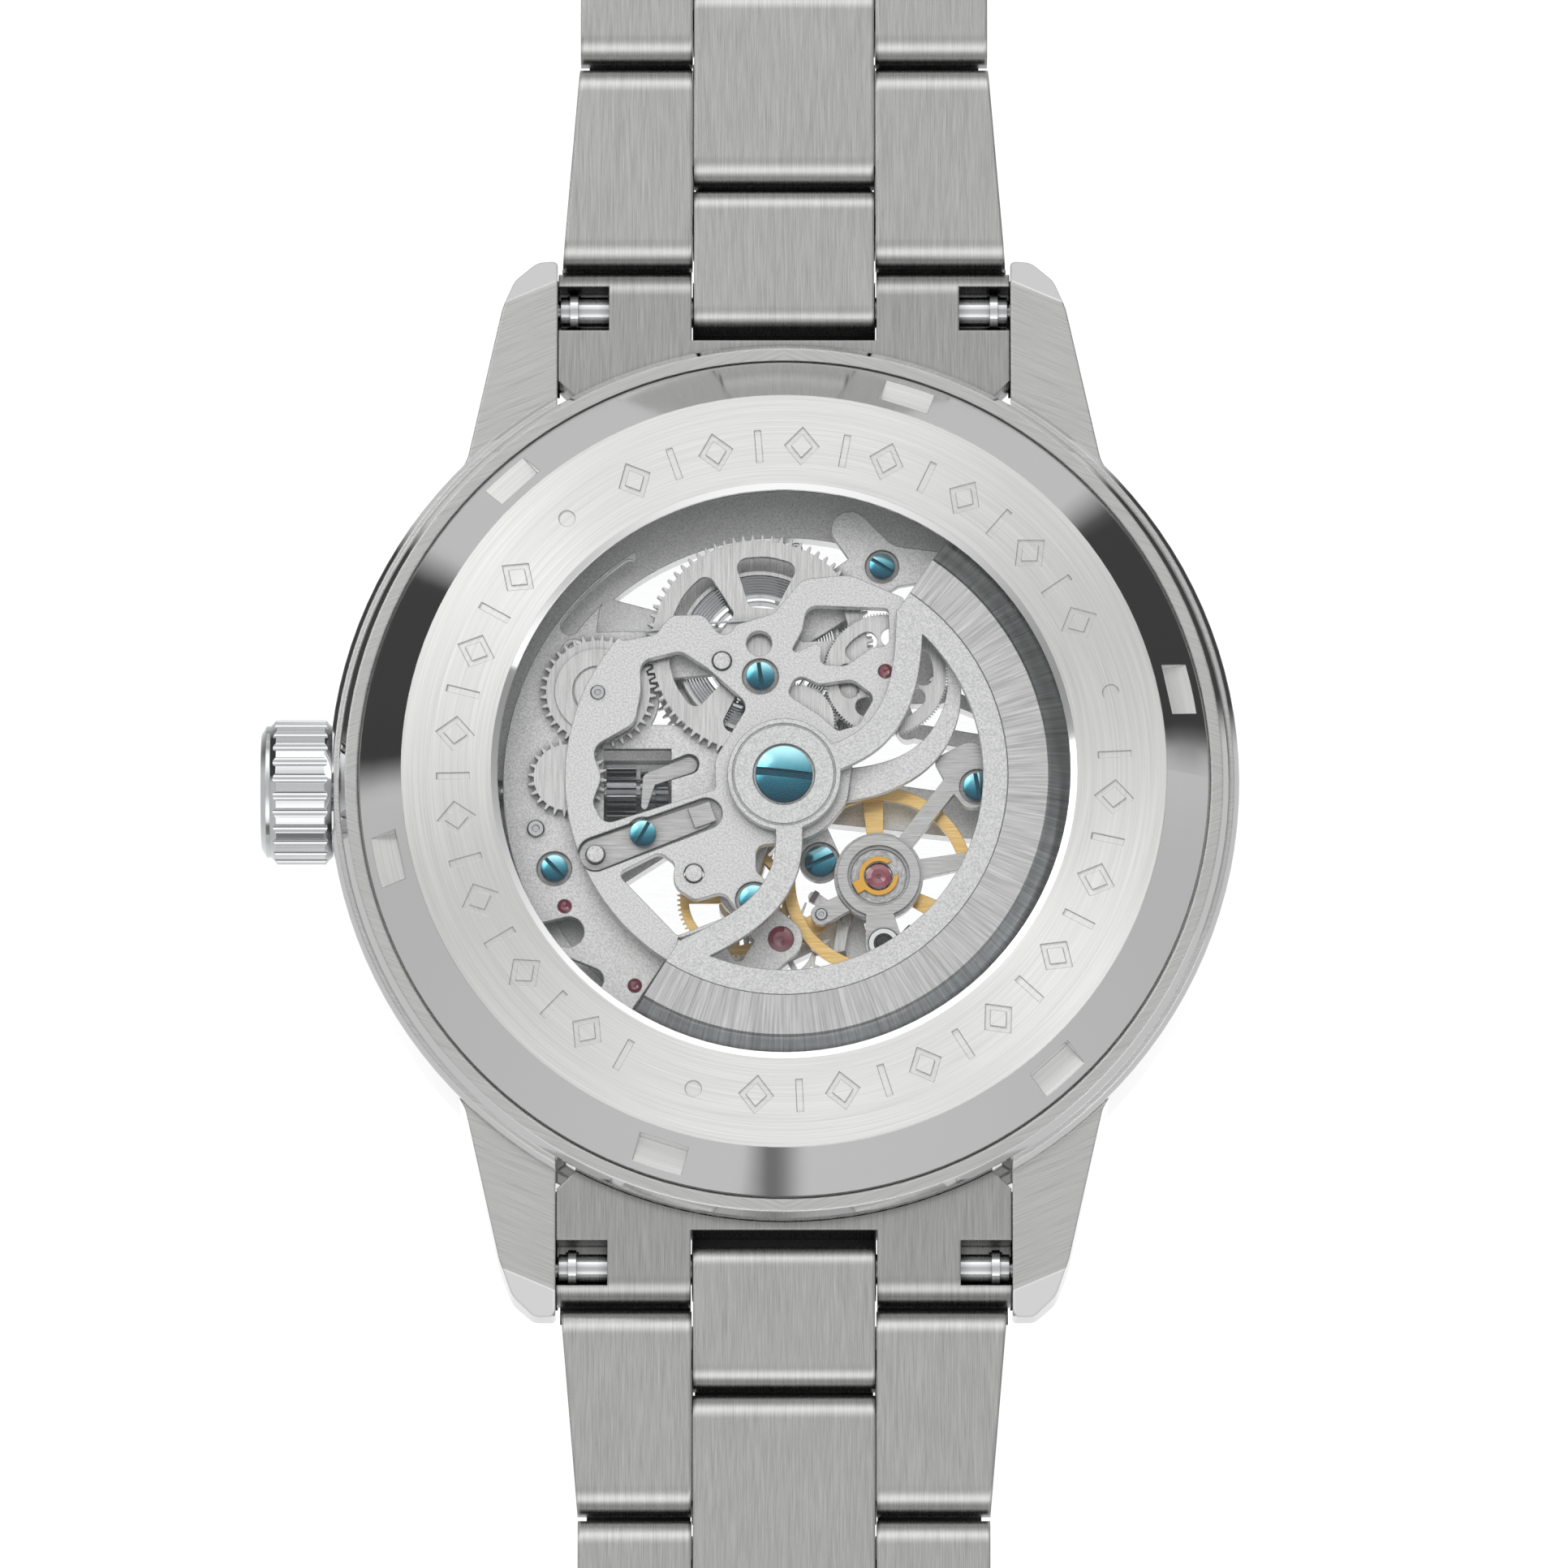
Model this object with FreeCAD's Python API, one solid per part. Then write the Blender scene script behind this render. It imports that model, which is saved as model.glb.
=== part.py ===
import FreeCAD, Part
import math
import os

# A skeleton automatic wristwatch lying on its crystal. The origin is the centre of the crystal's
# outer face, +Z points out of the case back, +Y points to 12 o'clock and the crown is at -X.
# All sizes are in millimetres and all angles in degrees.

os.makedirs("parts", exist_ok=True)

# ---------------------------------------------------------------- driving dimensions

# Fits
RUN = 0.05             # radial clearance of a running fit
SEAT = 0.02            # clearance of a seated piece
GAP = 0.3              # clearance between pieces that pass each other

# Case
CASE_R = 22.0          # outside radius of the middle of the case
CASE_FRONT = 2.9       # front face of the middle
CASE_REAR = 9.9        # rear rim of the middle
CAVITY_R = 16.05       # bore that takes the dial and the movement
THREAD_R = 19.2        # bore that takes the case back
BACK_SEAT = 9.25       # height at which the case back seats
CAVITY_TOP = 8.25      # top of the narrow cavity
LUG_WIDTH = 22.0       # distance between the lugs
LUG_TIP = CASE_R + 4.0   # lug tips from the centre line
LUG_REAR = 8.65        # rear face of the lugs
LUG_FACET = 38.0       # slope of the facet at the lug tips
END_CHAMFER = 0.9      # corners of the end links beside the case

# Crystal, bezel and dial
CRYSTAL_R = 18.35
CRYSTAL_T = 1.55
BEZEL_R = CASE_R - 0.5
GASKET_W = 0.28
DIAL_Z = 3.2           # front face of the dial
DIAL_T = 0.4
DIAL_IN_R = 13.0       # opening of the skeleton dial
CHAPTER_R = 17.85      # sloped ring between crystal and dial

# Case back
BACK_R = 20.5          # outside radius of the case back
BACK_TOP = 12.0        # rear face
BACK_FACE_R = 18.45    # outside radius of the flat face
WINDOW_R = 13.8        # window
GLASS_R = 14.15
GLASS_Z = 11.2
GLASS_T = 0.5
NOTCH_W = 2.45         # tool notches
NOTCH_IN_R = 18.9
NOTCH_FLOOR = 10.3
NOTCH_FIRST = 12.3     # angle of the first notch
NOTCHES = 6
BAND_R = 15.95         # middle radius of the engraved band
BAND_H = 1.9           # height of the engraved band
BAND_DEPTH = 0.12
DOT_ANGLES = (130.3, 13.5, 254.4)

# Bracelet
LINK_T = 3.0           # thickness
LINK_REAR = 8.6        # rear face of the bracelet
LINK_PITCH = 10.2
LINK_COUNT = 5         # full links on each side
CENTRE_W = 8.75        # middle row
HEAD_W = LUG_WIDTH - 0.5     # width at the case
STRAP_W = LUG_WIDTH - 2.2    # width from the second link on
ROW_GAP = 0.075        # groove between middle and outer rows
END_ROUND = 1.2        # rounding of the link ends
NOSE = 1.5             # middle row beyond its pivot
CHEEK = 2.3            # outer rows behind their pivot
BAR_Y = CASE_R + 1.6   # spring bars
BAR_R = 0.75
BAR_TIP_R = 0.4
COLLAR = 0.2           # height of the collars on the bars
HALF_PITCH = 4.4       # spring bar to the first pivot
PIN_R = 0.5

# Clasp
BLADE_T = 1.0
BLADE_W = 9.2
WING_W = 17.0
WING_REACH = 12.25     # wing pivot to blade hinge
END_GAP = 3.5          # distance between the two bracelet ends when the clasp is shut
HINGE_R = 0.35
HINGE_END = 0.7        # clasp parts beyond their hinges
CHEEK_END = 1.4        # clasp cheeks beyond the bracelet pivot

# Crown and stem
STEM_Z = 6.3
STEM_R = 0.6
CROWN_R = 3.5
CROWN_IN = CASE_R - 0.15  # inner face from the centre
CROWN_OUT = CASE_R + 3.3  # end face from the centre
CROWN_FLUTES = 26
TUBE_R = 1.3
PINION_R = 1.3         # winding pinion
SLIDER_R = 1.15        # sliding pinion

# Movement heights
PLATE_Z = 4.4
PLATE_TOP = 5.7
PLATE_R = 15.0
PLATE_IN_R = 12.7
FLANGE_R = 16.0
BRIDGE_Z = 7.75        # lower bridges
BRIDGE_TOP = 8.25
WINDING_Z = 8.35       # winding wheels
WINDING_T = 0.4
COCK_Z = 8.3           # balance cock
COCK_TOP = 8.9
AUTO_Z = 9.2           # automatic bridge
AUTO_TOP = 9.9
POST_R = 0.42          # steady posts

# Rotor
ROTOR_Z = 10.35
ROTOR_T = 0.5
HUB_R = 2.74
BAND_IN_R = 9.6
WEIGHT_IN_R = 10.8
WEIGHT_OUT_R = 14.3
WEIGHT_FACE_R = 12.75
WEIGHT_Z = 8.95
ROTOR_AXIS = -33.0     # symmetry axis of the rotor at rest
ROTOR_HALF = 88.75     # half of the angle that the weight spans
ARM_W = 1.3

# Winding train
WIND_MODULE = 0.15
RATCHET_TEETH = 72
IDLER_TEETH = 36
CROWN_TEETH = 24
BARREL = (-1.2, 6.7)
IDLER_ANGLE = 195.75   # direction from the barrel to the idler
CROWN_ANGLE = 250.7    # direction from the idler to the crown wheel
DRUM_R = 4.0
ARBOR_R = 0.45         # barrel arbor
PIVOT_R = 0.12         # pivots of the train

# Going train
CENTRE_TEETH = 64
THIRD_TEETH = 60
FOURTH_TEETH = 72
LEAVES = 8
GREAT_TEETH = 80
GREAT_LEAVES = 20
ESCAPE_TEETH = 20
THIRD = (-1.594, -2.542)
FOURTH = (-2.345, -5.446)
ESCAPE = (-0.15, -7.6)
PALLET = (2.9, -6.35)
ESCAPE_R = 2.4
CENTRE_WHEEL_Z = 6.32
THIRD_WHEEL_Z = 6.62
FOURTH_WHEEL_Z = 6.9
ESCAPE_WHEEL_Z = 6.62
WHEEL_T = 0.18
CENTRE_BORE = 0.3
CENTRE_R = 0.5

# Balance
BALANCE = (4.57, -4.65)
BALANCE_R = 4.62
RIM_W = 0.6
BALANCE_Z = 7.2
SPRING_Z = 7.63
COCK_R = 2.15          # ring of the cock round the shock setting

# Motion work behind the dial
MOTION_D = 2.4         # distance of the minute wheel from the centre
MOTION_ANGLE = 200.0
CANNON_TEETH = 12
MINUTE_TEETH = 36
MINUTE_LEAVES = 10
HOUR_TEETH = 40
MOTION_Z = 3.7
MOTION_POST_R = 0.18    # post of the minute wheel

# Automatic winding
AUTO = (4.9, 5.25)
AUTO_MODULE = 0.05
AUTO_TEETH = 120
REVERSER_TEETH = 74
ROTOR_TEETH = 46
AUTO_WHEEL_Z = 8.85
AUTO_WHEEL_T = 0.25

# ---------------------------------------------------------------- geometry helpers


def vec(x, y, z=0.0):
    """A point."""
    return FreeCAD.Vector(x, y, z)


def polar(radius, angle, x=0.0, y=0.0):
    """The point at a radius and an angle from a centre, as a pair."""
    turn = math.radians(angle)
    return (x + radius * math.cos(turn), y + radius * math.sin(turn))


def cylinder(radius, z0, z1, x=0.0, y=0.0):
    """An upright cylinder between two heights."""
    return Part.makeCylinder(radius, z1 - z0, vec(x, y, z0))


def ring(outer, inner, z0, z1, x=0.0, y=0.0):
    """An upright tube between two heights."""
    return cylinder(outer, z0, z1, x, y).cut(cylinder(inner, z0, z1, x, y))


def bar(radius, x0, x1, y, z):
    """A cylinder along X."""
    return Part.makeCylinder(radius, x1 - x0, vec(x0, y, z), vec(1, 0, 0))


def block(x0, x1, y0, y1, z0, z1):
    """A box between its limits."""
    return Part.makeBox(x1 - x0, y1 - y0, z1 - z0, vec(x0, y0, z0))


def turned(points):
    """A solid turned about Z from a closed profile of (radius, height) points."""
    corners = [vec(radius, 0, height) for radius, height in points]
    face = Part.Face(Part.makePolygon(corners + corners[:1]))
    return face.revolve(vec(0, 0, 0), vec(0, 0, 1), 360)


def rounded_wire(corners):
    """A closed wire through corners (x, y, radius), each one rounded by a tangent arc."""
    pieces = []
    for index, (x, y, radius) in enumerate(corners):
        here = vec(x, y)
        before = vec(*corners[index - 1][:2]) - here
        after = vec(*corners[(index + 1) % len(corners)][:2]) - here
        before.normalize()
        after.normalize()
        if radius == 0:
            pieces.append((here, None, here))
            continue
        half = before.getAngle(after) / 2
        inward = before + after
        inward.normalize()
        middle = here + inward * (radius / math.sin(half) - radius)
        reach = radius / math.tan(half)
        pieces.append((here + before * reach, middle, here + after * reach))
    edges = []
    for index, (start, middle, end) in enumerate(pieces):
        previous = pieces[index - 1][2]
        if previous.distanceToPoint(start) > 1e-6:
            edges.append(Part.makeLine(previous, start))
        if middle is not None:
            edges.append(Part.Arc(start, middle, end).toShape())
    return Part.Wire(edges)


def plate(corners, z0, z1):
    """A flat plate of a rounded outline between two heights."""
    face = Part.Face(rounded_wire(corners))
    face.translate(vec(0, 0, z0))
    return face.extrude(vec(0, 0, z1 - z0))


def side_plate(corners, x0, x1):
    """A solid with a rounded outline of (y, z, radius) corners, between two X positions."""
    face = Part.Face(rounded_wire(corners))
    face.rotate(vec(0, 0, 0), vec(1, 1, 1), 120)
    face.translate(vec(x0, 0, 0))
    return face.extrude(vec(x1 - x0, 0, 0))


def lever(x1, y1, r1, x2, y2, r2, z0, z1):
    """A flat arm with round ends of two radii, its sides tangent to both."""
    length = math.hypot(x2 - x1, y2 - y1)
    heading = math.atan2(y2 - y1, x2 - x1)
    spread = math.acos((r1 - r2) / length)
    start, end = [], []
    for side in (1, -1):
        turn = heading + side * spread
        start.append(vec(x1 + r1 * math.cos(turn), y1 + r1 * math.sin(turn), z0))
        end.append(vec(x2 + r2 * math.cos(turn), y2 + r2 * math.sin(turn), z0))
    back = vec(x1 - r1 * math.cos(heading), y1 - r1 * math.sin(heading), z0)
    tip = vec(x2 + r2 * math.cos(heading), y2 + r2 * math.sin(heading), z0)
    edges = [
        Part.Arc(start[0], back, start[1]).toShape(),
        Part.makeLine(start[1], end[1]),
        Part.Arc(end[1], tip, end[0]).toShape(),
        Part.makeLine(end[0], start[0]),
    ]
    return Part.Face(Part.Wire(edges)).extrude(vec(0, 0, z1 - z0))


def ribbon(points, w1, w2, z0, z1):
    """A flat strip along a smooth curve through points, its width running from w1 to w2."""
    left, right = [], []
    last = len(points) - 1
    for index, (x, y) in enumerate(points):
        ax, ay = points[max(index - 1, 0)]
        bx, by = points[min(index + 1, last)]
        length = math.hypot(bx - ax, by - ay)
        half = (w1 + (w2 - w1) * index / last) / 2
        nx, ny = -(by - ay) / length * half, (bx - ax) / length * half
        left.append(vec(x + nx, y + ny, z0))
        right.append(vec(x - nx, y - ny, z0))
    curves = []
    for side in (left, right):
        spline = Part.BSplineCurve()
        spline.interpolate(side)
        curves.append(spline.toShape())
    ends = [Part.makeLine(left[0], right[0]), Part.makeLine(left[-1], right[-1])]
    wire = Part.Wire(Part.__sortEdges__(curves + ends))
    return Part.Face(wire).extrude(vec(0, 0, z1 - z0))


def sector(outer, inner, start, sweep, z0, z1, x=0.0, y=0.0):
    """Part of a tube: sweep degrees from a start angle."""
    whole = Part.makeCylinder(outer, z1 - z0, vec(0, 0, z0), vec(0, 0, 1), sweep)
    bore = cylinder(inner, z0, z1)
    piece = whole.cut(bore)
    piece.rotate(vec(0, 0, 0), vec(0, 0, 1), start)
    piece.translate(vec(x, y, 0))
    return piece


def kidney(radius, width, middle, half, z0, z1, x, y):
    """A curved slot with round ends, centred on an angle, half degrees to each side."""
    slot = sector(radius + width / 2, radius - width / 2, middle - half, 2 * half, z0, z1, x, y)
    for angle in (middle - half, middle + half):
        cx, cy = polar(radius, angle, x, y)
        slot = slot.fuse(cylinder(width / 2, z0, z1, cx, cy))
    return slot


def joined(shapes):
    """One solid from several that touch."""
    whole = shapes[0].fuse(shapes[1:])
    return whole.removeSplitter()


def gear(teeth, pitch_r, phase, z0, z1, x, y, height=0.8, depth=1.15, share=0.36):
    """A spur wheel blank with narrow straight-sided teeth, one of them at the phase angle."""
    module = 2 * pitch_r / teeth
    tip, root = pitch_r + height * module, pitch_r - depth * module
    step = 360.0 / teeth
    corners = []
    for index in range(teeth):
        middle = phase + index * step
        for radius, turn in ((root, -0.62), (tip, -0.24), (tip, 0.24), (root, 0.62)):
            px, py = polar(radius, middle + turn * share * step, x, y)
            corners.append(vec(px, py, z0))
    face = Part.Face(Part.makePolygon(corners + corners[:1]))
    return face.extrude(vec(0, 0, z1 - z0))


def mated_phase(driver, driver_teeth, driver_phase, driven, driven_teeth):
    """The phase that puts a gap of the driven wheel opposite each tooth of the driver."""
    line = math.degrees(math.atan2(driven[1] - driver[1], driven[0] - driver[0]))
    step = 360.0 / driver_teeth
    offset = (driver_phase - line) % step
    return line + 180.0 - offset * driver_teeth / driven_teeth + 180.0 / driven_teeth


def spoked(shape, x, y, outer, inner, spokes, first, width, z0, z1):
    """A wheel with its web opened to leave straight spokes."""
    web = ring(outer, inner, z0, z1, x, y)
    for index in range(spokes):
        arm = block(0, outer + 1, -width / 2, width / 2, z0, z1)
        arm.rotate(vec(0, 0, 0), vec(0, 0, 1), first + index * 360.0 / spokes)
        arm.translate(vec(x, y, 0))
        web = web.cut(arm)
    return shape.cut(web)


def slotted_screw(x, y, radius, top, head, shank_r, bottom, angle):
    """A cheese-head screw with a straight slot; the head is chamfered."""
    chamfer = radius * 0.12
    profile = [(0, bottom), (shank_r, bottom), (shank_r, top - head), (radius, top - head)]
    profile += [(radius, top - chamfer), (radius - chamfer, top), (0, top)]
    screw = turned(profile)
    slot = block(-radius, radius, -radius * 0.14, radius * 0.14, top - head * 0.5, top + 1)
    slot.rotate(vec(0, 0, 0), vec(0, 0, 1), angle)
    screw = screw.cut(slot)
    screw.translate(vec(x, y, 0))
    return screw


def seated(shape, top):
    """A bridge with seats for the screws and jewels that sit at its top face."""
    for x, y, radius, level, angle in SCREWS:
        if level == top:
            shape = shape.cut(cylinder(radius + 0.2, top - 0.2, top + 1, x, y))
            shape = shape.cut(cylinder(SHANK_R + RUN, top - 2, top, x, y))
    for x, y, radius, level in JEWELS:
        if level == top:
            shape = shape.cut(cylinder(radius + SEAT, top - JEWEL_T - SEAT, top + 1, x, y))
    return shape


def group(shapes):
    """Several separate solids in one node."""
    return Part.makeCompound(shapes)


def mirrored(shape):
    """The same piece on the 6 o'clock side."""
    return shape.mirror(vec(0, 0, 0), vec(0, 1, 0))


def save(name, shape):
    """Write one node."""
    if shape.ShapeType == "Compound" and len(shape.Solids) == 1:
        shape = shape.Solids[0]
    shape.exportStep("parts/" + name + ".step")


# ---------------------------------------------------------------- places worked out from the sizes

LINK_Z = LINK_REAR - LINK_T          # front face of the bracelet
PIVOT_Z = LINK_REAR - LINK_T / 2     # all bracelet pivots
HEAD_Y = BAR_Y + HALF_PITCH          # first pivot
BACK_GROOVE_R = CASE_R - 0.5         # recess of the case behind the end links
IDLER_D = WIND_MODULE * (RATCHET_TEETH + IDLER_TEETH) / 2
IDLER = polar(IDLER_D, IDLER_ANGLE, *BARREL)
CROWN_D = WIND_MODULE * (IDLER_TEETH + CROWN_TEETH) / 2
CROWN_WHEEL = polar(CROWN_D, CROWN_ANGLE, *IDLER)
AUTO_R = AUTO_MODULE * AUTO_TEETH / 2
REVERSER_R = AUTO_MODULE * REVERSER_TEETH / 2
ROTOR_PINION_R = AUTO_MODULE * ROTOR_TEETH / 2
REVERSER_D = ROTOR_PINION_R + REVERSER_R
AUTO_D = math.hypot(*AUTO)
REVERSER_BEND = math.acos((REVERSER_D ** 2 + AUTO_D ** 2 - (REVERSER_R + AUTO_R) ** 2)
                          / (2 * REVERSER_D * AUTO_D))
REVERSER = polar(REVERSER_D, math.degrees(math.atan2(AUTO[1], AUTO[0]) + REVERSER_BEND))
CENTRE_D = math.hypot(*THIRD)
CENTRE_WHEEL_R = CENTRE_D * CENTRE_TEETH / (CENTRE_TEETH + LEAVES)
THIRD_D = math.hypot(THIRD[0] - FOURTH[0], THIRD[1] - FOURTH[1])
THIRD_WHEEL_R = THIRD_D * THIRD_TEETH / (THIRD_TEETH + LEAVES)
FOURTH_D = math.hypot(ESCAPE[0] - FOURTH[0], ESCAPE[1] - FOURTH[1])
FOURTH_WHEEL_R = FOURTH_D * FOURTH_TEETH / (FOURTH_TEETH + LEAVES)
GREAT_D = math.hypot(*BARREL)
GREAT_R = GREAT_D * GREAT_TEETH / (GREAT_TEETH + GREAT_LEAVES)
MINUTE = polar(MOTION_D, MOTION_ANGLE)
SCREWS = ((4.75, 10.75, 0.62, BRIDGE_TOP, 147), (-11.1, -4.15, 0.65, BRIDGE_TOP, 132),
          (-1.14, 5.0, 0.68, AUTO_TOP, 98), (-6.8, -2.75, 0.63, AUTO_TOP, 62),
          (9.35, -0.25, 0.68, COCK_TOP, 100), (1.75, -3.8, 0.75, BRIDGE_TOP, 25),
          (-1.45, -6.0, 0.7, AUTO_TOP, 40))
SHANK_R = 0.27
JEWEL_T = 0.3
JEWELS = ((ESCAPE[0], ESCAPE[1], 0.6, BRIDGE_TOP), (-10.6, -6.0, 0.32, BRIDGE_TOP),
          (-7.2, -9.9, 0.32, BRIDGE_TOP), (AUTO[0], AUTO[1], 0.33, AUTO_TOP),
          (BALANCE[0], BALANCE[1], 0.6, COCK_TOP + 0.05))
POSTS = ((-3.0, 5.75), (-4.35, -4.7), (-9.1, -3.75))

# ---------------------------------------------------------------- case


def lug_pair():
    """The two lugs at 12 o'clock: a tapered plan cut to a curved side view."""
    inner = LUG_WIDTH / 2
    plan = [(inner, 13.5, 0), (inner + 5.6, 13.8, 0), (inner + 4.35, 16.0, 1.5)]
    plan += [(inner + 2.7, LUG_TIP - 2.6, 3.0), (inner + 2.1, LUG_TIP - 1.0, 1.2)]
    plan += [(inner + 1.0, LUG_TIP, 0.8), (inner, LUG_TIP, 0.3)]
    side = [(12.0, CASE_FRONT, 0), (17.5, CASE_FRONT, 4.0), (LUG_TIP, 5.4, 0.6)]
    side += [(LUG_TIP, LUG_REAR, 0), (12.0, LUG_REAR, 0)]
    right = plate(plan, 0, BACK_TOP).common(side_plate(side, 0, CASE_R))
    facet = block(-8, 8, 0, 8, 0, 8)
    facet.rotate(vec(0, 0, 0), vec(1, 0, 0), -LUG_FACET)
    facet.rotate(vec(0, 0, 0), vec(0, 0, 1), -23.0)
    facet.translate(vec(inner + 1.1, LUG_TIP - 1.6, LUG_REAR))
    right = right.cut(facet)
    right = right.cut(bar(BAR_TIP_R + RUN, inner - 1, inner + 1.2, BAR_Y, PIVOT_Z))
    return [right, right.mirror(vec(0, 0, 0), vec(1, 0, 0))]


def mid_case():
    """The middle of the case with its four lugs, bored for the back and the movement."""
    rim = BACK_R + 0.12
    rear = CASE_REAR
    ledge = DIAL_Z - SEAT
    profile = [(CAVITY_R, ledge), (CHAPTER_R + SEAT, ledge), (CHAPTER_R + SEAT, CASE_FRONT)]
    profile += [(BEZEL_R + 0.2, CASE_FRONT), (CASE_R, CASE_FRONT + 0.3)]
    profile += [(CASE_R, rear - 0.8), (CASE_R - 0.25, rear - 0.5), (CASE_R - 0.45, rear - 0.5)]
    profile += [(CASE_R - 0.8, rear), (rim, rear), (rim, BACK_SEAT), (THREAD_R, BACK_SEAT)]
    profile += [(THREAD_R, CAVITY_TOP), (CAVITY_R, CAVITY_TOP)]
    body = turned(profile)
    lugs = lug_pair()
    lugs += [mirrored(lug) for lug in lugs]
    bore = cylinder(CASE_R - 0.5, 0, BACK_TOP)
    body = joined([body] + [lug.cut(bore) for lug in lugs])
    half = LUG_WIDTH / 2
    for side in (1, -1):
        seat = block(-half, half, min(side * 17, side * 30), max(side * 17, side * 30),
                     LINK_Z - GAP, BACK_TOP)
        body = body.cut(seat.cut(cylinder(BACK_GROOVE_R, 0, BACK_TOP + 1)))
    body = body.cut(bar(TUBE_R - 0.35, -CASE_R - 1, -CAVITY_R + 1, 0, STEM_Z))
    body = body.cut(bar(CROWN_R + 0.25, -CASE_R - 1, -CROWN_IN + 0.1, 0, STEM_Z))
    return body


def bezel():
    """The bezel: a sloped ring that holds the crystal in its gasket."""
    seat = CRYSTAL_R + GASKET_W + 2 * SEAT
    top = CASE_FRONT - SEAT
    profile = [(17.9, CRYSTAL_T + 0.05), (seat, CRYSTAL_T + 0.05), (seat, 0.15), (19.4, 0.15)]
    profile += [(20.9, 1.1), (BEZEL_R, 1.6), (BEZEL_R, top), (17.9, top)]
    return turned(profile)


def crystal():
    """The flat front crystal with a bevelled edge."""
    profile = [(0, 0), (CRYSTAL_R - 0.3, 0), (CRYSTAL_R, 0.3), (CRYSTAL_R, CRYSTAL_T), (0, CRYSTAL_T)]
    return turned(profile)


def gaskets():
    """The crystal gasket and the case back gasket."""
    front = ring(CRYSTAL_R + SEAT + GASKET_W, CRYSTAL_R + SEAT, 0.35, CRYSTAL_T)
    rear = ring(BACK_R - 0.25, THREAD_R + 0.35, BACK_SEAT + 0.02, BACK_SEAT + 0.3)
    return group([front, rear])


def chapter_ring():
    """The sloped ring between crystal and dial."""
    top, bottom = DIAL_Z - RUN, CRYSTAL_T + 0.1
    profile = [(CHAPTER_R, bottom), (CHAPTER_R, top), (CHAPTER_R - 2.15, top), (CHAPTER_R - 0.55, bottom)]
    return turned(profile)


def dial_ring():
    """The open dial: a ring with twelve raised hour markers on its front."""
    dial = ring(CAVITY_R - RUN, DIAL_IN_R, DIAL_Z, DIAL_Z + DIAL_T)
    for hour in range(12):
        half = 0.65 if hour % 3 == 0 else 0.4
        marker = block(DIAL_IN_R + 0.3, 15.4, -half, half, DIAL_Z - 0.3, DIAL_Z + 0.1)
        marker.rotate(vec(0, 0, 0), vec(0, 0, 1), hour * 30)
        dial = dial.fuse(marker)
    return dial.removeSplitter()


def engraved_band():
    """Plain engraved bars and lozenges in three arcs, parted by three dots."""
    z0, z1 = BACK_TOP - BAND_DEPTH, BACK_TOP + 1
    cuts = []
    for angle in DOT_ANGLES:
        x, y = polar(BAND_R + 0.25, angle)
        cuts.append(cylinder(0.4, z0, z1, x, y))
    ends = sorted(angle % 360 for angle in DOT_ANGLES)
    ends.append(ends[0] + 360)
    for start, end in zip(ends, ends[1:]):
        count = int((end - start - 14) / 7.5)
        first = (start + end - (count - 1) * 7.5) / 2
        for index in range(count):
            if index % 2:
                mark = block(-BAND_H * 0.42, BAND_H * 0.42, -0.16, 0.16, z0, z1)
            else:
                outer = [(BAND_H / 2, 0, 0), (0, 0.85, 0), (-BAND_H / 2, 0, 0), (0, -0.85, 0)]
                inner = [(x * 0.6, y * 0.6, 0) for x, y, radius in outer]
                mark = plate(outer, z0, z1).cut(plate(inner, z0, z1))
            mark.translate(vec(BAND_R, 0, 0))
            mark.rotate(vec(0, 0, 0), vec(0, 0, 1), first + index * 7.5)
            cuts.append(mark)
    return Part.makeCompound(cuts)


def case_back():
    """The screwed case back: polished cone, flat engraved face, window and tool notches."""
    top = BACK_TOP
    profile = [(14.6, 10.6), (14.6, GLASS_Z - 0.05), (GLASS_R + SEAT, GLASS_Z - 0.05)]
    profile += [(GLASS_R + SEAT, GLASS_Z + GLASS_T + SEAT), (WINDOW_R, GLASS_Z + GLASS_T + SEAT)]
    profile += [(WINDOW_R, top - 0.12), (WINDOW_R + 0.33, top), (BACK_FACE_R, top)]
    profile += [(BACK_R, top - (BACK_R - BACK_FACE_R)), (BACK_R, BACK_SEAT + 0.32)]
    profile += [(THREAD_R - RUN, BACK_SEAT + 0.32), (THREAD_R - RUN, CAVITY_TOP + 0.05)]
    profile += [(15.6, CAVITY_TOP + 0.05), (15.6, 10.6)]
    back = turned(profile)
    for index in range(NOTCHES):
        notch = block(NOTCH_IN_R, BACK_R + 1, -NOTCH_W / 2, NOTCH_W / 2, NOTCH_FLOOR, top + 1)
        notch.rotate(vec(0, 0, 0), vec(0, 0, 1), NOTCH_FIRST + index * 360.0 / NOTCHES)
        back = back.cut(notch)
    return back.cut(engraved_band())


def back_glass():
    """The window of the case back."""
    return cylinder(GLASS_R, GLASS_Z, GLASS_Z + GLASS_T)


def crown_tube():
    """The tube that the crown slides over."""
    tube = bar(TUBE_R - 0.37, -CROWN_IN - 1.3, -CAVITY_R - 0.3, 0, STEM_Z)
    return tube.cut(bar(STEM_R + RUN, -CASE_R - 4, 0, 0, STEM_Z))


def spring_bars():
    """The two sprung bars between the lugs."""
    half = LUG_WIDTH / 2
    body = bar(BAR_R, -half + 0.15, half - 0.15, BAR_Y, PIVOT_Z)
    tips = bar(BAR_TIP_R, -half - 1.0, half + 1.0, BAR_Y, PIVOT_Z)
    collar = bar(BAR_R + COLLAR, half - 1.0, half - 0.6, BAR_Y, PIVOT_Z)
    one = joined([body, tips, collar, collar.mirror(vec(0, 0, 0), vec(1, 0, 0))])
    return group([one, mirrored(one)])


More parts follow.
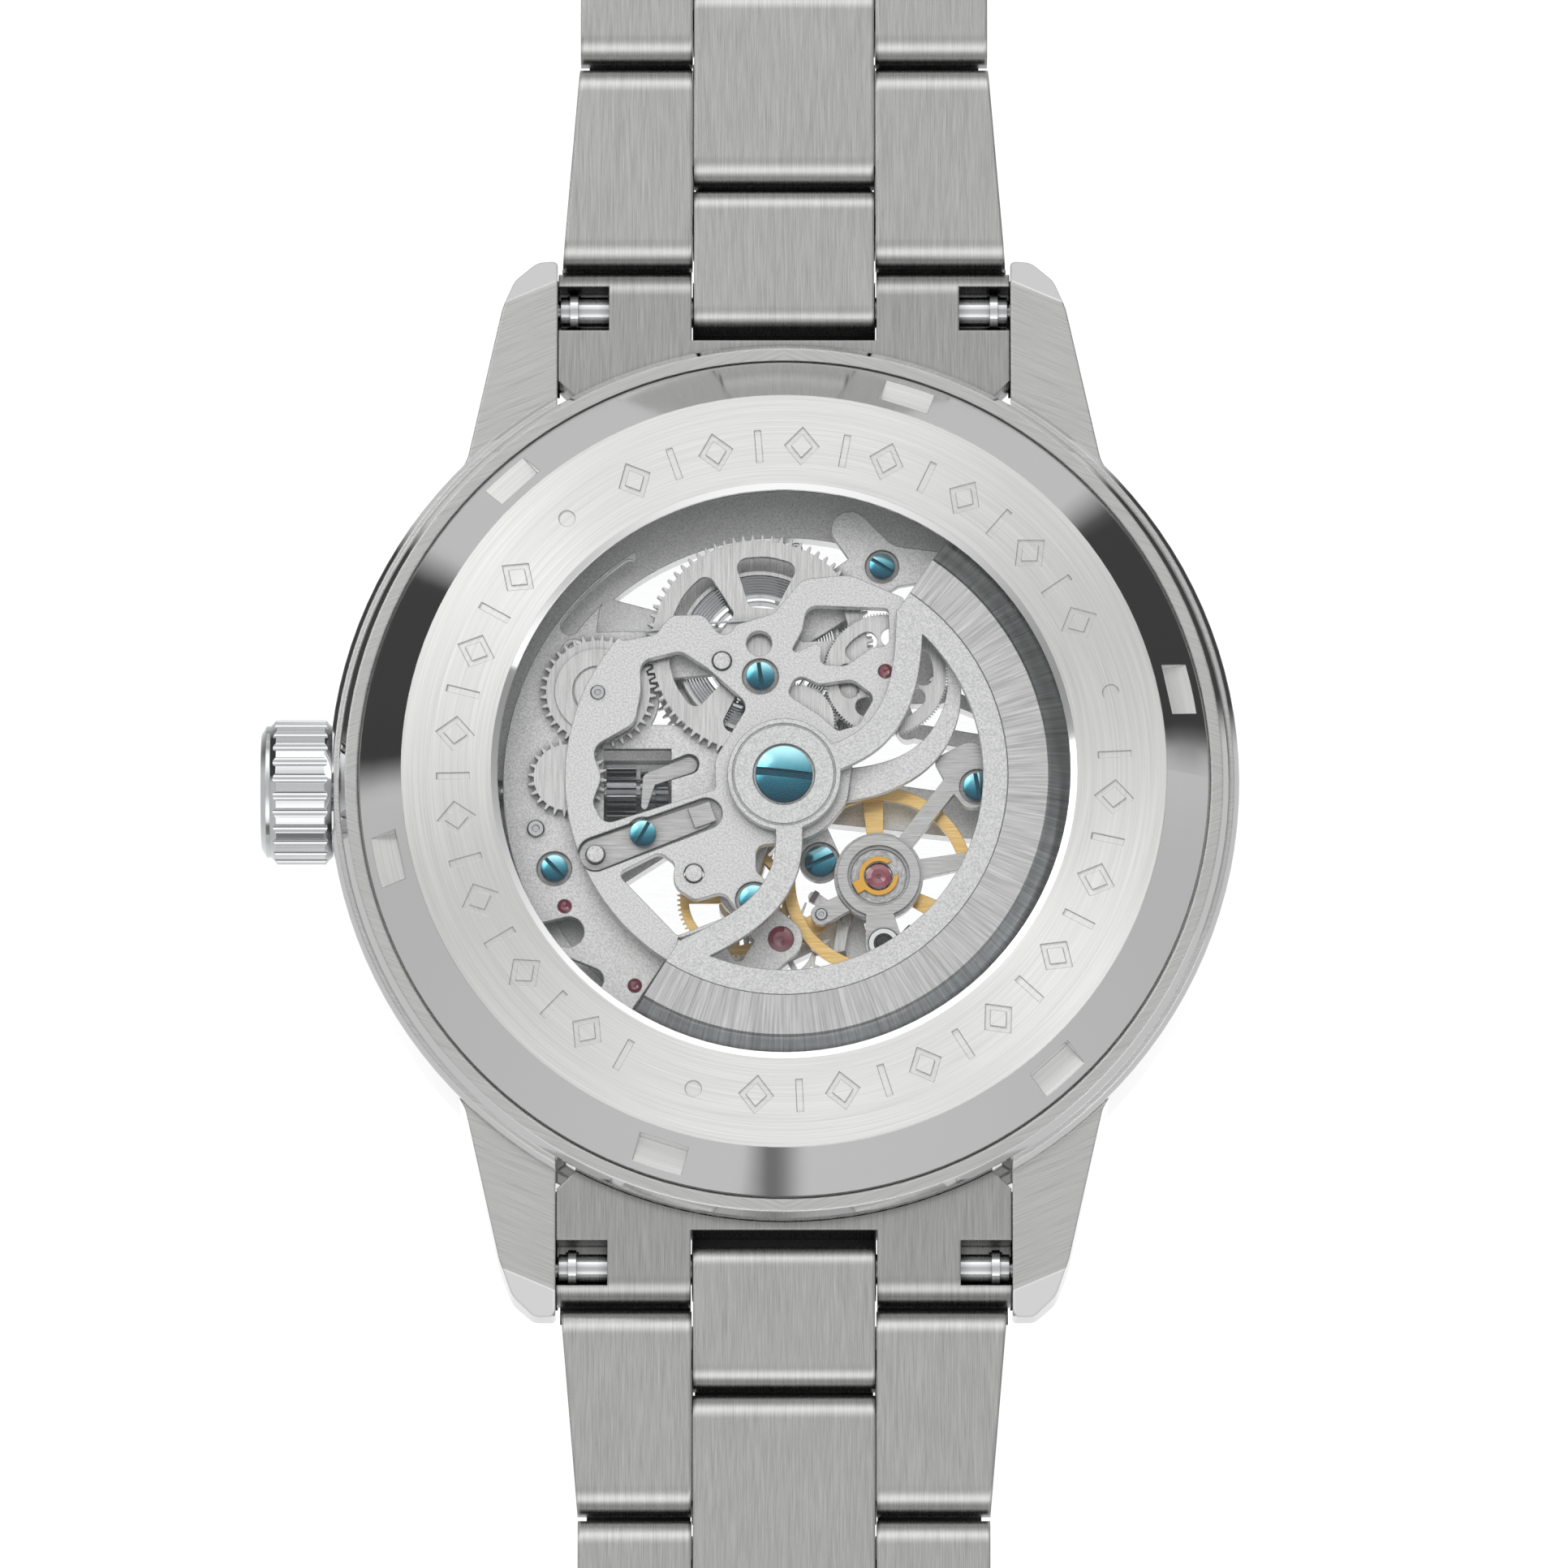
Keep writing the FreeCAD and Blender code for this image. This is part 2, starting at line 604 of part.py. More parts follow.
def end_links():
    """The two fixed end links between the lugs, each with a pocket for the half link."""
    half = LUG_WIDTH / 2 - RUN
    outer = HEAD_Y - CHEEK - GAP
    side = [(15.0, LINK_Z, 0), (outer, LINK_Z, END_ROUND), (outer, LINK_REAR, END_ROUND)]
    side += [(15.0, LINK_REAR, 0)]
    link = side_plate(side, -half, half)
    link = link.cut(cylinder(BACK_GROOVE_R + SEAT, 0, BACK_TOP))
    low = math.sqrt(BACK_GROOVE_R ** 2 - half ** 2)
    for sign in (1, -1):
        near, far = sign * (half - END_CHAMFER), sign * (half + 1)
        corner = [(near, low - 1, 0), (near, low + 0.5, 0), (far, low + 0.5 + END_CHAMFER + 1, 0)]
        link = link.cut(plate(corner + [(far, low - 1, 0)], 0, BACK_TOP))
    link = link.cut(block(-CENTRE_W / 2 - 0.12, CENTRE_W / 2 + 0.12, BAR_Y - 1.7, 30, 0, BACK_TOP))
    link = link.cut(bar(BAR_R + RUN, -half - 1, half + 1, BAR_Y, PIVOT_Z))
    for sign in (1, -1):
        near, far = sorted((sign * (half - 1.05), sign * (half - 0.45)))
        link = link.cut(bar(BAR_R + COLLAR + RUN, near, far, BAR_Y, PIVOT_Z))
        near, far = sorted((sign * (half - 2.45), sign * (half + 1)))
        link = link.cut(block(near, far, BAR_Y - 1.2, BAR_Y + 1.0, PIVOT_Z - 0.4, BACK_TOP))
    return group([link, mirrored(link)])


# ---------------------------------------------------------------- bracelet


def row(x0, x1, y0, y1, rounding):
    """One row of a link with rounded ends."""
    corners = [(y0, LINK_Z, rounding), (y1, LINK_Z, rounding)]
    corners += [(y1, LINK_REAR, rounding), (y0, LINK_REAR, rounding)]
    return side_plate(corners, x0, x1)


def half_link():
    """The short middle piece between the spring bar and the first full link."""
    piece = row(-CENTRE_W / 2, CENTRE_W / 2, BAR_Y - 1.04, HEAD_Y + NOSE, 1.0)
    piece = piece.cut(bar(BAR_R + RUN, -CENTRE_W, CENTRE_W, BAR_Y, PIVOT_Z))
    return piece.cut(bar(PIN_R + RUN, -CENTRE_W, CENTRE_W, HEAD_Y, PIVOT_Z))


def full_link(index):
    """An H-shaped link: outer rows pinned round the link before, middle row reaching the next."""
    pivot = HEAD_Y + index * LINK_PITCH
    ahead = pivot + LINK_PITCH
    inner = CENTRE_W / 2 + ROW_GAP
    first = HEAD_W if index == 0 else STRAP_W
    rows = []
    for sign in (1, -1):
        low, high = sorted((sign * inner, sign * HEAD_W / 2))
        outer = row(low, high, pivot - CHEEK, ahead - CHEEK - GAP, END_ROUND)
        edge, far_edge = sign * first / 2, sign * STRAP_W / 2
        plan = [(0, pivot - 4, 0), (edge, pivot - 4, 0), (edge, pivot - CHEEK, 0)]
        plan += [(far_edge, ahead - CHEEK, 0), (far_edge, ahead + 4, 0), (0, ahead + 4, 0)]
        rows.append(outer.common(plate(plan, 0, BACK_TOP)))
    rows.append(row(-CENTRE_W / 2, CENTRE_W / 2, pivot + NOSE + GAP, ahead + NOSE, END_ROUND))
    half = STRAP_W / 2 - 1
    rows.append(block(-half, half, pivot + 2.7, pivot + 7.0, LINK_Z + 0.5, LINK_REAR - 0.5))
    rows.append(bar(PIN_R, -half, half, pivot, PIVOT_Z))
    link = joined(rows)
    return link.cut(bar(PIN_R + RUN, -CENTRE_W / 2 - 1, CENTRE_W / 2 + 1, ahead, PIVOT_Z))


def clasp_wing(pivot, hinge):
    """A folding wing: two cheeks pinned to the bracelet end and two rails to the blade hinge."""
    toward = 1 if hinge > pivot else -1
    rail_z = LINK_REAR + GAP
    parts = []
    for sign in (1, -1):
        low, high = sorted((sign * (BLADE_W / 2 + 0.2), sign * WING_W / 2))
        y0, y1 = sorted((pivot - toward * CHEEK_END, hinge + toward * HINGE_END))
        rail = [(y0, rail_z, 0.3), (y1, rail_z, 0.3)]
        rail += [(y1, rail_z + BLADE_T, 0.3), (y0, rail_z + BLADE_T, 0.3)]
        parts.append(side_plate(rail, low, high))
        y0, y1 = sorted((pivot - toward * CHEEK_END, pivot + toward * 1.55))
        cheek = [(y0, PIVOT_Z - 1.2, 1.0), (y1, PIVOT_Z - 1.2, 1.0)]
        cheek += [(y1, rail_z + 0.5, 0), (y0, rail_z + 0.5, 0)]
        parts.append(side_plate(cheek, low, high))
    half = WING_W / 2 - 0.5
    parts.append(bar(PIN_R, -half, half, pivot, PIVOT_Z))
    parts.append(bar(HINGE_R, -half, half, hinge, rail_z + BLADE_T / 2))
    return joined(parts)


def clasp_blade(first, last):
    """The central blade of the clasp, bored at both ends for the wing hinges."""
    z0 = LINK_REAR + GAP
    ends = sorted((first, last))
    y0, y1 = ends[0] - HINGE_END, ends[1] + HINGE_END
    corners = [(y0, z0, 0.45), (y1, z0, 0.45), (y1, z0 + BLADE_T, 0.45), (y0, z0 + BLADE_T, 0.45)]
    blade = side_plate(corners, -BLADE_W / 2, BLADE_W / 2)
    for y in ends:
        blade = blade.cut(bar(HINGE_R + RUN, -BLADE_W, BLADE_W, y, z0 + BLADE_T / 2))
    return blade


# ---------------------------------------------------------------- plates and bridges


def main_plate():
    """The open main plate: outer ring, webs to the pivots and the block for the stem."""
    z0, z1 = PLATE_Z, PLATE_TOP
    parts = [ring(PLATE_R, PLATE_IN_R, z0, z1), ring(FLANGE_R - RUN, PLATE_IN_R, z0, z0 + 0.6)]
    parts.append(cylinder(2.2, z0, z1))
    parts.append(lever(0, 0, 1.6, BARREL[0], BARREL[1], 1.3, z0, z1))
    parts.append(lever(0, 0, 1.4, THIRD[0], THIRD[1], 0.9, z0, z1))
    parts.append(lever(THIRD[0], THIRD[1], 0.9, FOURTH[0], FOURTH[1], 0.8, z0, z1))
    parts.append(lever(FOURTH[0], FOURTH[1], 0.8, ESCAPE[0], ESCAPE[1], 0.8, z0, z1))
    parts.append(lever(ESCAPE[0], ESCAPE[1], 0.8, PALLET[0], PALLET[1], 0.6, z0, z1))
    parts.append(lever(PALLET[0], PALLET[1], 0.6, BALANCE[0], BALANCE[1], 1.0, z0, z1))
    parts.append(lever(PALLET[0], PALLET[1], 0.9, 4.6, -13.3, 1.4, z0, z1))
    parts.append(lever(ESCAPE[0], ESCAPE[1], 0.8, -6.6, -11.8, 1.6, z0, z1))
    parts.append(lever(0, 0, 1.2, 12.9, -1.6, 1.0, z0, z1))
    parts.append(lever(BARREL[0], BARREL[1], 1.0, -10.2, 8.9, 1.2, z0, z1))
    parts.append(sector(PLATE_IN_R + 0.2, 9.6, 196, 46, z0, z1 - 0.3))
    parts.append(lever(6.0, 3.2, 0.35, 12.9, 1.9, 0.5, z0, z1))
    parts.append(lever(7.6, 5.0, 0.3, 12.9, 2.9, 0.45, z0, z1))
    parts.append(lever(AUTO[0], AUTO[1], 0.8, 7.6, 5.0, 0.5, z0, z1))
    parts.append(lever(AUTO[0], AUTO[1], 0.8, 6.0, 3.2, 0.5, z0, z1))
    parts.append(lever(1.2, 1.2, 0.9, AUTO[0], AUTO[1], 0.9, z0, z1))
    parts.append(lever(AUTO[0], AUTO[1], 0.9, 9.6, 9.0, 1.2, z0, z1))
    keyless = [(-13.4, 3.4, 0), (-5.0, 2.6, 0.8), (-1.2, 1.4, 0.5), (-1.2, -1.4, 0.5)]
    keyless += [(-5.0, -2.6, 0.8), (-9.0, -5.2, 1.0), (-13.2, -5.6, 0)]
    parts.append(plate(keyless, z0, z1))
    stand = [(-13.4, 2.6, 0), (-8.9, 2.4, 0.4), (-8.9, -2.6, 0.4), (-13.4, -2.8, 0)]
    parts.append(plate(stand, z1 - 0.1, BRIDGE_Z - 0.1))
    parts.append(cylinder(MOTION_POST_R, MOTION_Z, z1, *MINUTE))
    whole = joined(parts)
    whole = whole.cut(block(-8.7, -5.4, -1.65, 1.65, STEM_Z - PINION_R - 0.1, BRIDGE_TOP))
    whole = whole.cut(bar(STEM_R + RUN, -PLATE_R - 1, -5.3, 0, STEM_Z))
    whole = whole.cut(cylinder(1.45, PLATE_TOP - 0.05, PLATE_TOP + 1))
    whole = whole.cut(cylinder(CENTRE_R + RUN, 0, BRIDGE_Z))
    return whole


def barrel_bridge():
    """The bridge over the barrel and under the winding wheels, with its left wing."""
    z0, z1 = BRIDGE_Z, BRIDGE_TOP
    opening = [(-7.15, 14.0, 0), (-7.15, 10.6, 0.8), (-8.9, 8.9, 1.0), (-9.1, 7.3, 0)]
    opening += [(-4.0, 7.3, 0), (-4.0, 14.0, 0)]
    parts = [sector(13.6, 9.6, 122, 114.5, z0, z1).cut(plate(opening, z0, z1))]
    parts.append(lever(-9.2, 6.2, 1.3, BARREL[0], BARREL[1], 1.1, z0, z1))
    parts.append(lever(BARREL[0], BARREL[1], 1.1, 4.75, 10.75, 1.25, z0, z1))
    parts.append(lever(4.75, 10.75, 1.1, 7.4, 10.8, 0.7, z0, z1))
    parts.append(lever(4.75, 10.75, 1.1, 3.2, 12.6, 0.9, z0, z1))
    parts.append(cylinder(3.0, z0, z1, *IDLER))
    cover = [(-9.6, 3.0, 0.3), (-4.6, 2.9, 0.8), (-2.5, 1.9, 0.5), (-2.4, -0.8, 0.8)]
    cover += [(-4.0, -2.3, 0.8), (-5.2, -2.6, 0.5), (-9.6, -2.7, 0.3)]
    parts.append(plate(cover, z0, z1))
    bridge = joined(parts)
    bridge = bridge.cut(kidney(13.0, 0.9, 134, 9, z0, z1, 0, 0))
    bridge = bridge.cut(lever(-10.4, -7.25, 0.75, -12.4, -7.4, 0.4, z0, z1))
    bridge = bridge.cut(lever(-9.3, -9.6, 0.6, -10.6, -9.4, 0.9, z0, z1))
    bridge = bridge.cut(cylinder(0.62, z0, z1, -10.15, 6.55))
    bridge = bridge.cut(block(-8.7, -5.45, -1.9, 1.75, z0, z1))
    bridge = bridge.cut(lever(-6.5, 0.3, 0.4, -4.6, 1.0, 0.5, z0, z1))
    bridge = bridge.cut(cylinder(ARBOR_R + RUN, z0, z1, *BARREL))
    bridge = bridge.cut(cylinder(0.3 + RUN, z0, z1, *IDLER))
    bridge = bridge.cut(cylinder(0.3 + RUN, z0, z1, *CROWN_WHEEL))
    return seated(bridge, z1)


def train_bridge():
    """The bridge over the going train."""
    z0, z1 = BRIDGE_Z, BRIDGE_TOP
    parts = [cylinder(1.7, z0, z1)]
    parts.append(lever(0, 0, 1.3, THIRD[0], THIRD[1], 0.9, z0, z1))
    parts.append(lever(THIRD[0], THIRD[1], 0.9, FOURTH[0], FOURTH[1], 0.75, z0, z1))
    parts.append(lever(FOURTH[0], FOURTH[1], 0.75, ESCAPE[0], ESCAPE[1], 1.05, z0, z1))
    parts.append(lever(ESCAPE[0], ESCAPE[1], 1.05, -1.6, -9.3, 0.7, z0, z1))
    parts.append(lever(-1.6, -9.3, 0.7, -5.2, -9.9, 0.9, z0, z1))
    parts.append(lever(-5.2, -9.9, 0.9, -5.7, -12.3, 0.7, z0, z1))
    parts.append(lever(-2.4, -9.5, 0.5, -3.5, -7.7, 0.45, z0, z1))
    parts.append(lever(0.6, -1.0, 0.9, 1.75, -3.8, 1.0, z0, z1))
    bridge = joined(parts).cut(cylinder(0.15, z0, z1, *ESCAPE))
    bridge = bridge.cut(cylinder(PIVOT_R + RUN, z0, z1, *THIRD))
    bridge = bridge.cut(cylinder(PIVOT_R + RUN, z0, z1, *FOURTH))
    bridge = bridge.cut(cylinder(CENTRE_R + RUN, z0, z1))
    return seated(bridge, z1)


def balance_cock():
    """The balance cock: a ring on two slender arms from its screwed foot."""
    z0, z1 = COCK_Z, COCK_TOP
    bx, by = BALANCE
    parts = [cylinder(COCK_R, z0, z1, bx, by)]
    parts.append(lever(bx, by, 0.38, 8.5, 0.45, 0.42, z0, z1))
    parts.append(lever(bx, by, 0.55, 9.9, -3.65, 0.33, z0, z1))
    foot = [(7.2, 1.1, 0.3), (9.3, 2.2, 0.8), (10.3, 0.6, 0.6)]
    foot += [(10.2, -0.8, 0.8), (8.9, -1.5, 0.7), (7.9, -0.2, 0.4)]
    parts.append(plate(foot, z0, z1))
    parts.append(cylinder(0.7, z0, z1, 9.9, -3.65))
    sole = [(9.6, 1.2, 0.4), (12.9, 1.6, 0), (12.9, -1.4, 0), (9.6, -1.0, 0.4)]
    parts.append(plate(sole, BRIDGE_Z, BRIDGE_TOP))
    parts.append(cylinder(0.95, BRIDGE_Z, z0 + 0.1, 9.35, -0.25))
    cock = joined(parts)
    return seated(cock.cut(cylinder(1.35, z0, z1, bx, by)), z1)


def regulator():
    """The regulator ring with its tail and the stud carrier."""
    bx, by = BALANCE
    z0 = COCK_TOP + 0.05
    z1 = z0 + 0.2
    parts = [cylinder(2.0, z0, z1, bx, by), lever(bx, by - 1.6, 0.6, bx + 0.25, by - 3.35, 0.9, z0, z1)]
    ring_plate = joined(parts).cut(cylinder(1.5, z0, z1, bx, by))
    carrier = lever(bx - 1.6, by - 1.3, 0.45, 1.8, -6.55, 0.5, z0 - 0.5, z1 - 0.1)
    carrier = carrier.cut(cylinder(COCK_R + 0.05, z0 - 1, z1 + 1, bx, by))
    return group([ring_plate, carrier])


def shock_setting():
    """The shock setting in the cock: an inner ring with a lyre spring."""
    bx, by = BALANCE
    z0 = COCK_TOP - 0.25
    holder = ring(1.33, 0.68, z0 - 0.3, z0 + 0.2, bx, by)
    loop = ring(0.95, 0.72, z0 + 0.22, z0 + 0.4, bx, by)
    loop = loop.cut(block(bx, bx + 2, by - 0.35, by + 0.35, 0, BACK_TOP))
    tab = block(bx - 1.3, bx - 0.8, by - 0.3, by + 0.3, z0 + 0.22, z0 + 0.4)
    spring = joined([loop, tab])
    spring.rotate(vec(bx, by, 0), vec(0, 0, 1), 28)
    return group([holder, spring])


def jewels():
    """Fixed bearing jewels, domed and drilled."""
    stones = []
    for x, y, radius, top in JEWELS:
        profile = [(0, top - JEWEL_T), (radius, top - JEWEL_T)]
        profile += [(radius, top - 0.05), (radius * 0.6, top + 0.02)]
        profile += [(radius * 0.22, top - 0.02), (radius * 0.22, top - 0.2), (0, top - 0.2)]
        stone = turned(profile)
        stone.translate(vec(x, y, 0))
        stones.append(stone)
    return group(stones)


def automatic_bridge():
    """The crescent bridge under the rotor, with its windows and spring slot, and its steady pins."""
    z0, z1 = AUTO_Z, AUTO_TOP
    reach = 10.58
    tip = polar(reach, 57.0)
    start, middle, end = polar(reach, 140.5), polar(reach, 190.0), polar(reach, 239.0)
    top_edge = [(6.3, 6.0, 1.5), (tip[0], tip[1], 0.2), (3.2, 10.0, 1.2), (0.9, 9.8, 1.0), (-0.5, 8.1, 0.7)]
    top_edge += [(-2.3, 7.55, 0.3), (-2.9, 6.75, 0.5), (-3.9, 8.05, 0.7)]
    top_edge += [(-5.5, 8.0, 0.8), (-6.2, 7.05, 0.4), (-8.1, 6.7, 0)]
    lower = [(-5.2, -7.95, 0.4), (-2.4, -6.9, 0.8), (-0.7, -7.0, 0.6), (-0.7, -5.2, 0.7), (-1.35, -4.6, 0.5)]
    lower += [(-1.35, -3.3, 0.5), (0.0, -3.2, 1.5), (3.0, -1.6, 1.6), (3.4, 1.4, 1.4), (5.4, 3.6, 1.4)]
    body = plate(lower + top_edge + [(-9.0, 0.0, 0)], z0, z1)
    crescent = sector(reach, 5.6, 139.0, 100.0, z0, z1)
    left = [(-12, 7.5, 0), (-12, -12, 0), (-5.3, -9.2, 0)]
    left += [(-5.1, -7.9, 0), (-6.0, 0, 0), (-7.5, 7.2, 0)]
    whole = joined([body, crescent.common(plate(left, z0, z1)), cylinder(3.15, z0, z1)])
    windows = [[(-8.05, -4.7, 0.3), (-6.0, -3.65, 0.5), (-5.25, -4.2, 0.4), (-5.4, -5.3, 0.9),
                (-4.3, -6.0, 0.5), (-2.9, -5.6, 0.5), (-2.2, -6.6, 0.3), (-5.15, -7.75, 0.2)],
               [(-6.95, 5.75, 0.6), (-5.0, 6.25, 0.6), (-3.7, 5.4, 1.0), (-1.7, 3.6, 0.6), (-3.35, 0.9, 1.2),
                (-3.3, -0.55, 0.2), (-8.7, -2.3, 0.6), (-9.25, -1.2, 0.6),
                (-8.8, 0.0, 0.8), (-9.3, 1.5, 0.7),
                (-7.2, 2.7, 0.9), (-6.9, 4.3, 1.0)],
               [(0.25, 6.05, 0.15), (0.9, 7.3, 0.5), (1.1, 8.5, 0.6), (5.05, 8.35, 0.2), (5.1, 6.5, 0.4),
                (4.2, 6.4, 0.5), (3.0, 5.5, 0.8), (1.75, 5.6, 0.3), (1.85, 6.75, 0.25)],
               [(0.15, 4.1, 0.4), (0.6, 5.15, 0.5), (1.7, 4.6, 0.6), (3.3, 4.85, 0.6), (4.4, 4.0, 0.4),
                (3.6, 2.6, 0.6), (2.6, 2.3, 0.3), (1.7, 3.1, 0.8)]]
    for corners in windows:
        whole = whole.cut(plate(corners, z0 - 1, z1 + 1))
    whole = whole.cut(lever(-9.1, -3.75, 0.86, -3.75, -1.75, 0.78, z1 - 0.45, z1 + 1))
    whole = whole.cut(cylinder(0.62, z0, z1 + 1, -1.2, 6.62))
    for x, y in POSTS:
        whole = whole.cut(cylinder(POST_R + 0.06, z0 - 1, z1 + 1, x, y))
    whole = whole.cut(cylinder(1.3, z0 - 1, z0 + 0.35))
    whole = whole.cut(cylinder(0.85, z0, z1 + 1))
    whole = whole.cut(cylinder(0.16, z0, z1 + 1, *AUTO))
    horn = [(2.6, -0.3), (5.0, 0.15), (6.9, 1.3), (8.0, 3.1), (8.2, 5.1), (7.75, 6.6)]
    whole = joined([whole, ribbon(horn, 1.7, 0.3, z0, z0 + 0.4)])
    whole = whole.cut(cylinder(0.85, z0, z1 + 1))
    pins = [cylinder(POST_R, z0 - 0.3, z1 + 0.12, x, y) for x, y in POSTS]
    return group([seated(whole, AUTO_TOP)] + pins)


def bridge_screws():
    """The blued bridge screws."""
    return group([slotted_screw(x, y, radius, top + 0.2, 0.38, 0.27, top - 0.6, angle)
                  for x, y, radius, top, angle in SCREWS])


def click_spring():
    """The flat spring in its slot, with a raised end."""
    z0 = AUTO_TOP - 0.42
    strip = lever(-9.1, -3.75, 0.76, -4.0, -1.84, 0.6, z0, z0 + 0.2)
    strip = strip.cut(cylinder(POST_R + 0.06, z0, z0 + 1, -9.1, -3.75))
    strip = strip.cut(cylinder(0.32, z0, z0 + 1, -6.8, -2.75))
    end = block(-0.55, 0.55, -0.5, 0.5, z0 + 0.18, z0 + 0.34)
    end.rotate(vec(0, 0, 0), vec(0, 0, 1), 20)
    end.translate(vec(-3.95, -1.8, 0))
    return joined([strip, end])


def setting_lever():
    """The yoke of the keyless works, over the sliding pinion."""
    z0, z1 = BRIDGE_Z, BRIDGE_Z + 0.2
    parts = [lever(-6.5, 0.3, 0.33, -6.75, -1.0, 0.16, z0, z1)]
    parts.append(lever(-6.5, 0.3, 0.33, -4.6, 1.0, 0.4, z0, z1))
    parts.append(cylinder(0.4, PLATE_TOP + SEAT, z0 + 0.05, -4.6, 1.0))
    return joined(parts)

# ---------------------------------------------------------------- rotor and automatic winding


def rotor_plate():
    """The rotor's hub, its two S-shaped arms, the thin outer band and the pinion below."""
    z0, z1 = ROTOR_Z, ROTOR_Z + ROTOR_T
    parts = [cylinder(HUB_R, z0, z1), cylinder(0.8, AUTO_WHEEL_Z + AUTO_WHEEL_T, z0)]
    parts.append(sector(WEIGHT_IN_R, BAND_IN_R, ROTOR_AXIS - ROTOR_HALF, 2 * ROTOR_HALF, z0, z1))
    for side in (1, -1):
        path = [polar(radius, ROTOR_AXIS + side * turn)
                for radius, turn in ((1.6, 50), (2.9, 52), (4.5, 56), (6.2, 64.5), (8.1, 76), (10.1, 86))]
        parts.append(ribbon(path, ARM_W, ARM_W, z0, z1))
    parts.append(gear(ROTOR_TEETH, ROTOR_PINION_R, 0, AUTO_WHEEL_Z, AUTO_WHEEL_Z + AUTO_WHEEL_T, 0, 0))
    whole = joined(parts)
    whole = whole.cut(ring(2.5, 2.42, z1 - 0.06, z1 + 1))
    whole = whole.cut(cylinder(1.5, z1 - 0.25, z1 + 1))
    return whole.cut(cylinder(0.5, z0 - 1, z1))


def rotor_weight():
    """The heavy rim of the rotor, with a chamfered outer edge."""
    top = ROTOR_Z + ROTOR_T
    profile = [(WEIGHT_IN_R + SEAT, WEIGHT_Z), (WEIGHT_OUT_R, WEIGHT_Z), (WEIGHT_OUT_R, top - 0.9)]
    profile += [(WEIGHT_FACE_R + 0.12, top - 0.12), (WEIGHT_FACE_R, top + 0.02)]
    profile += [(WEIGHT_IN_R + SEAT, top + 0.02)]
    corners = [vec(radius, 0, height) for radius, height in profile]
    face = Part.Face(Part.makePolygon(corners + corners[:1]))
    rim = face.revolve(vec(0, 0, 0), vec(0, 0, 1), 2 * ROTOR_HALF)
    rim.rotate(vec(0, 0, 0), vec(0, 0, 1), ROTOR_AXIS - ROTOR_HALF)
    return rim


def rotor_screw():
    """The large blued screw that holds the rotor."""
    screw = slotted_screw(0, 0, 1.38, ROTOR_Z + ROTOR_T + 0.12, 0.35, 0.42, ROTOR_Z - 0.6, -6)
    return screw


def reverser_wheel():
    """The idler between the rotor's pinion and the winding wheel."""
    z0, z1 = AUTO_WHEEL_Z, AUTO_WHEEL_Z + AUTO_WHEEL_T
    phase = mated_phase((0, 0), ROTOR_TEETH, 0, REVERSER, REVERSER_TEETH)
    wheel = gear(REVERSER_TEETH, REVERSER_R, phase, z0, z1, *REVERSER)
    return wheel.cut(cylinder(0.25, z1 - 0.1, z1, *REVERSER))


def auto_wheel():
    """The fine-toothed winding wheel with six curved slots."""
    z0, z1 = AUTO_WHEEL_Z, AUTO_WHEEL_Z + AUTO_WHEEL_T
    first = mated_phase((0, 0), ROTOR_TEETH, 0, REVERSER, REVERSER_TEETH)
    phase = mated_phase(REVERSER, REVERSER_TEETH, first, AUTO, AUTO_TEETH)
    wheel = gear(AUTO_TEETH, AUTO_R, phase, z0, z1, *AUTO)
    for index in range(6):
        wheel = wheel.cut(kidney(1.85, 0.95, 10 + index * 60, 12, z0, z1, *AUTO))
    return joined([wheel, cylinder(0.14, z0, AUTO_TOP - JEWEL_T - RUN, *AUTO)])


# ---------------------------------------------------------------- winding


def winding_phases():
    """Tooth phases of the crown wheel, the idler and the ratchet wheel in mesh."""
    crown_phase = CROWN_ANGLE + 180.0
    idler_phase = mated_phase(CROWN_WHEEL, CROWN_TEETH, crown_phase, IDLER, IDLER_TEETH)
    ratchet_phase = mated_phase(IDLER, IDLER_TEETH, idler_phase, BARREL, RATCHET_TEETH)
    return crown_phase, idler_phase, ratchet_phase


def crown_wheel():
    """The crown wheel that the winding pinion turns."""
    z0, z1 = WINDING_Z, WINDING_Z + WINDING_T
    wheel = gear(CROWN_TEETH, WIND_MODULE * CROWN_TEETH / 2, winding_phases()[0], z0, z1, *CROWN_WHEEL)
    hub = cylinder(0.3, BRIDGE_Z, z0, *CROWN_WHEEL)
    return joined([wheel, hub])


def idler_wheel():
    """The wheel between crown wheel and ratchet wheel, with a raised disc on top."""
    z0, z1 = WINDING_Z, WINDING_Z + WINDING_T
    wheel = gear(IDLER_TEETH, WIND_MODULE * IDLER_TEETH / 2, winding_phases()[1], z0, z1 - 0.1, *IDLER)
    disc = cylinder(2.1, z0, z1, *IDLER).cut(ring(1.25, 1.15, z1 - 0.1, z1, *IDLER))
    return joined([wheel, disc, cylinder(0.3, BRIDGE_Z, z0, *IDLER)])


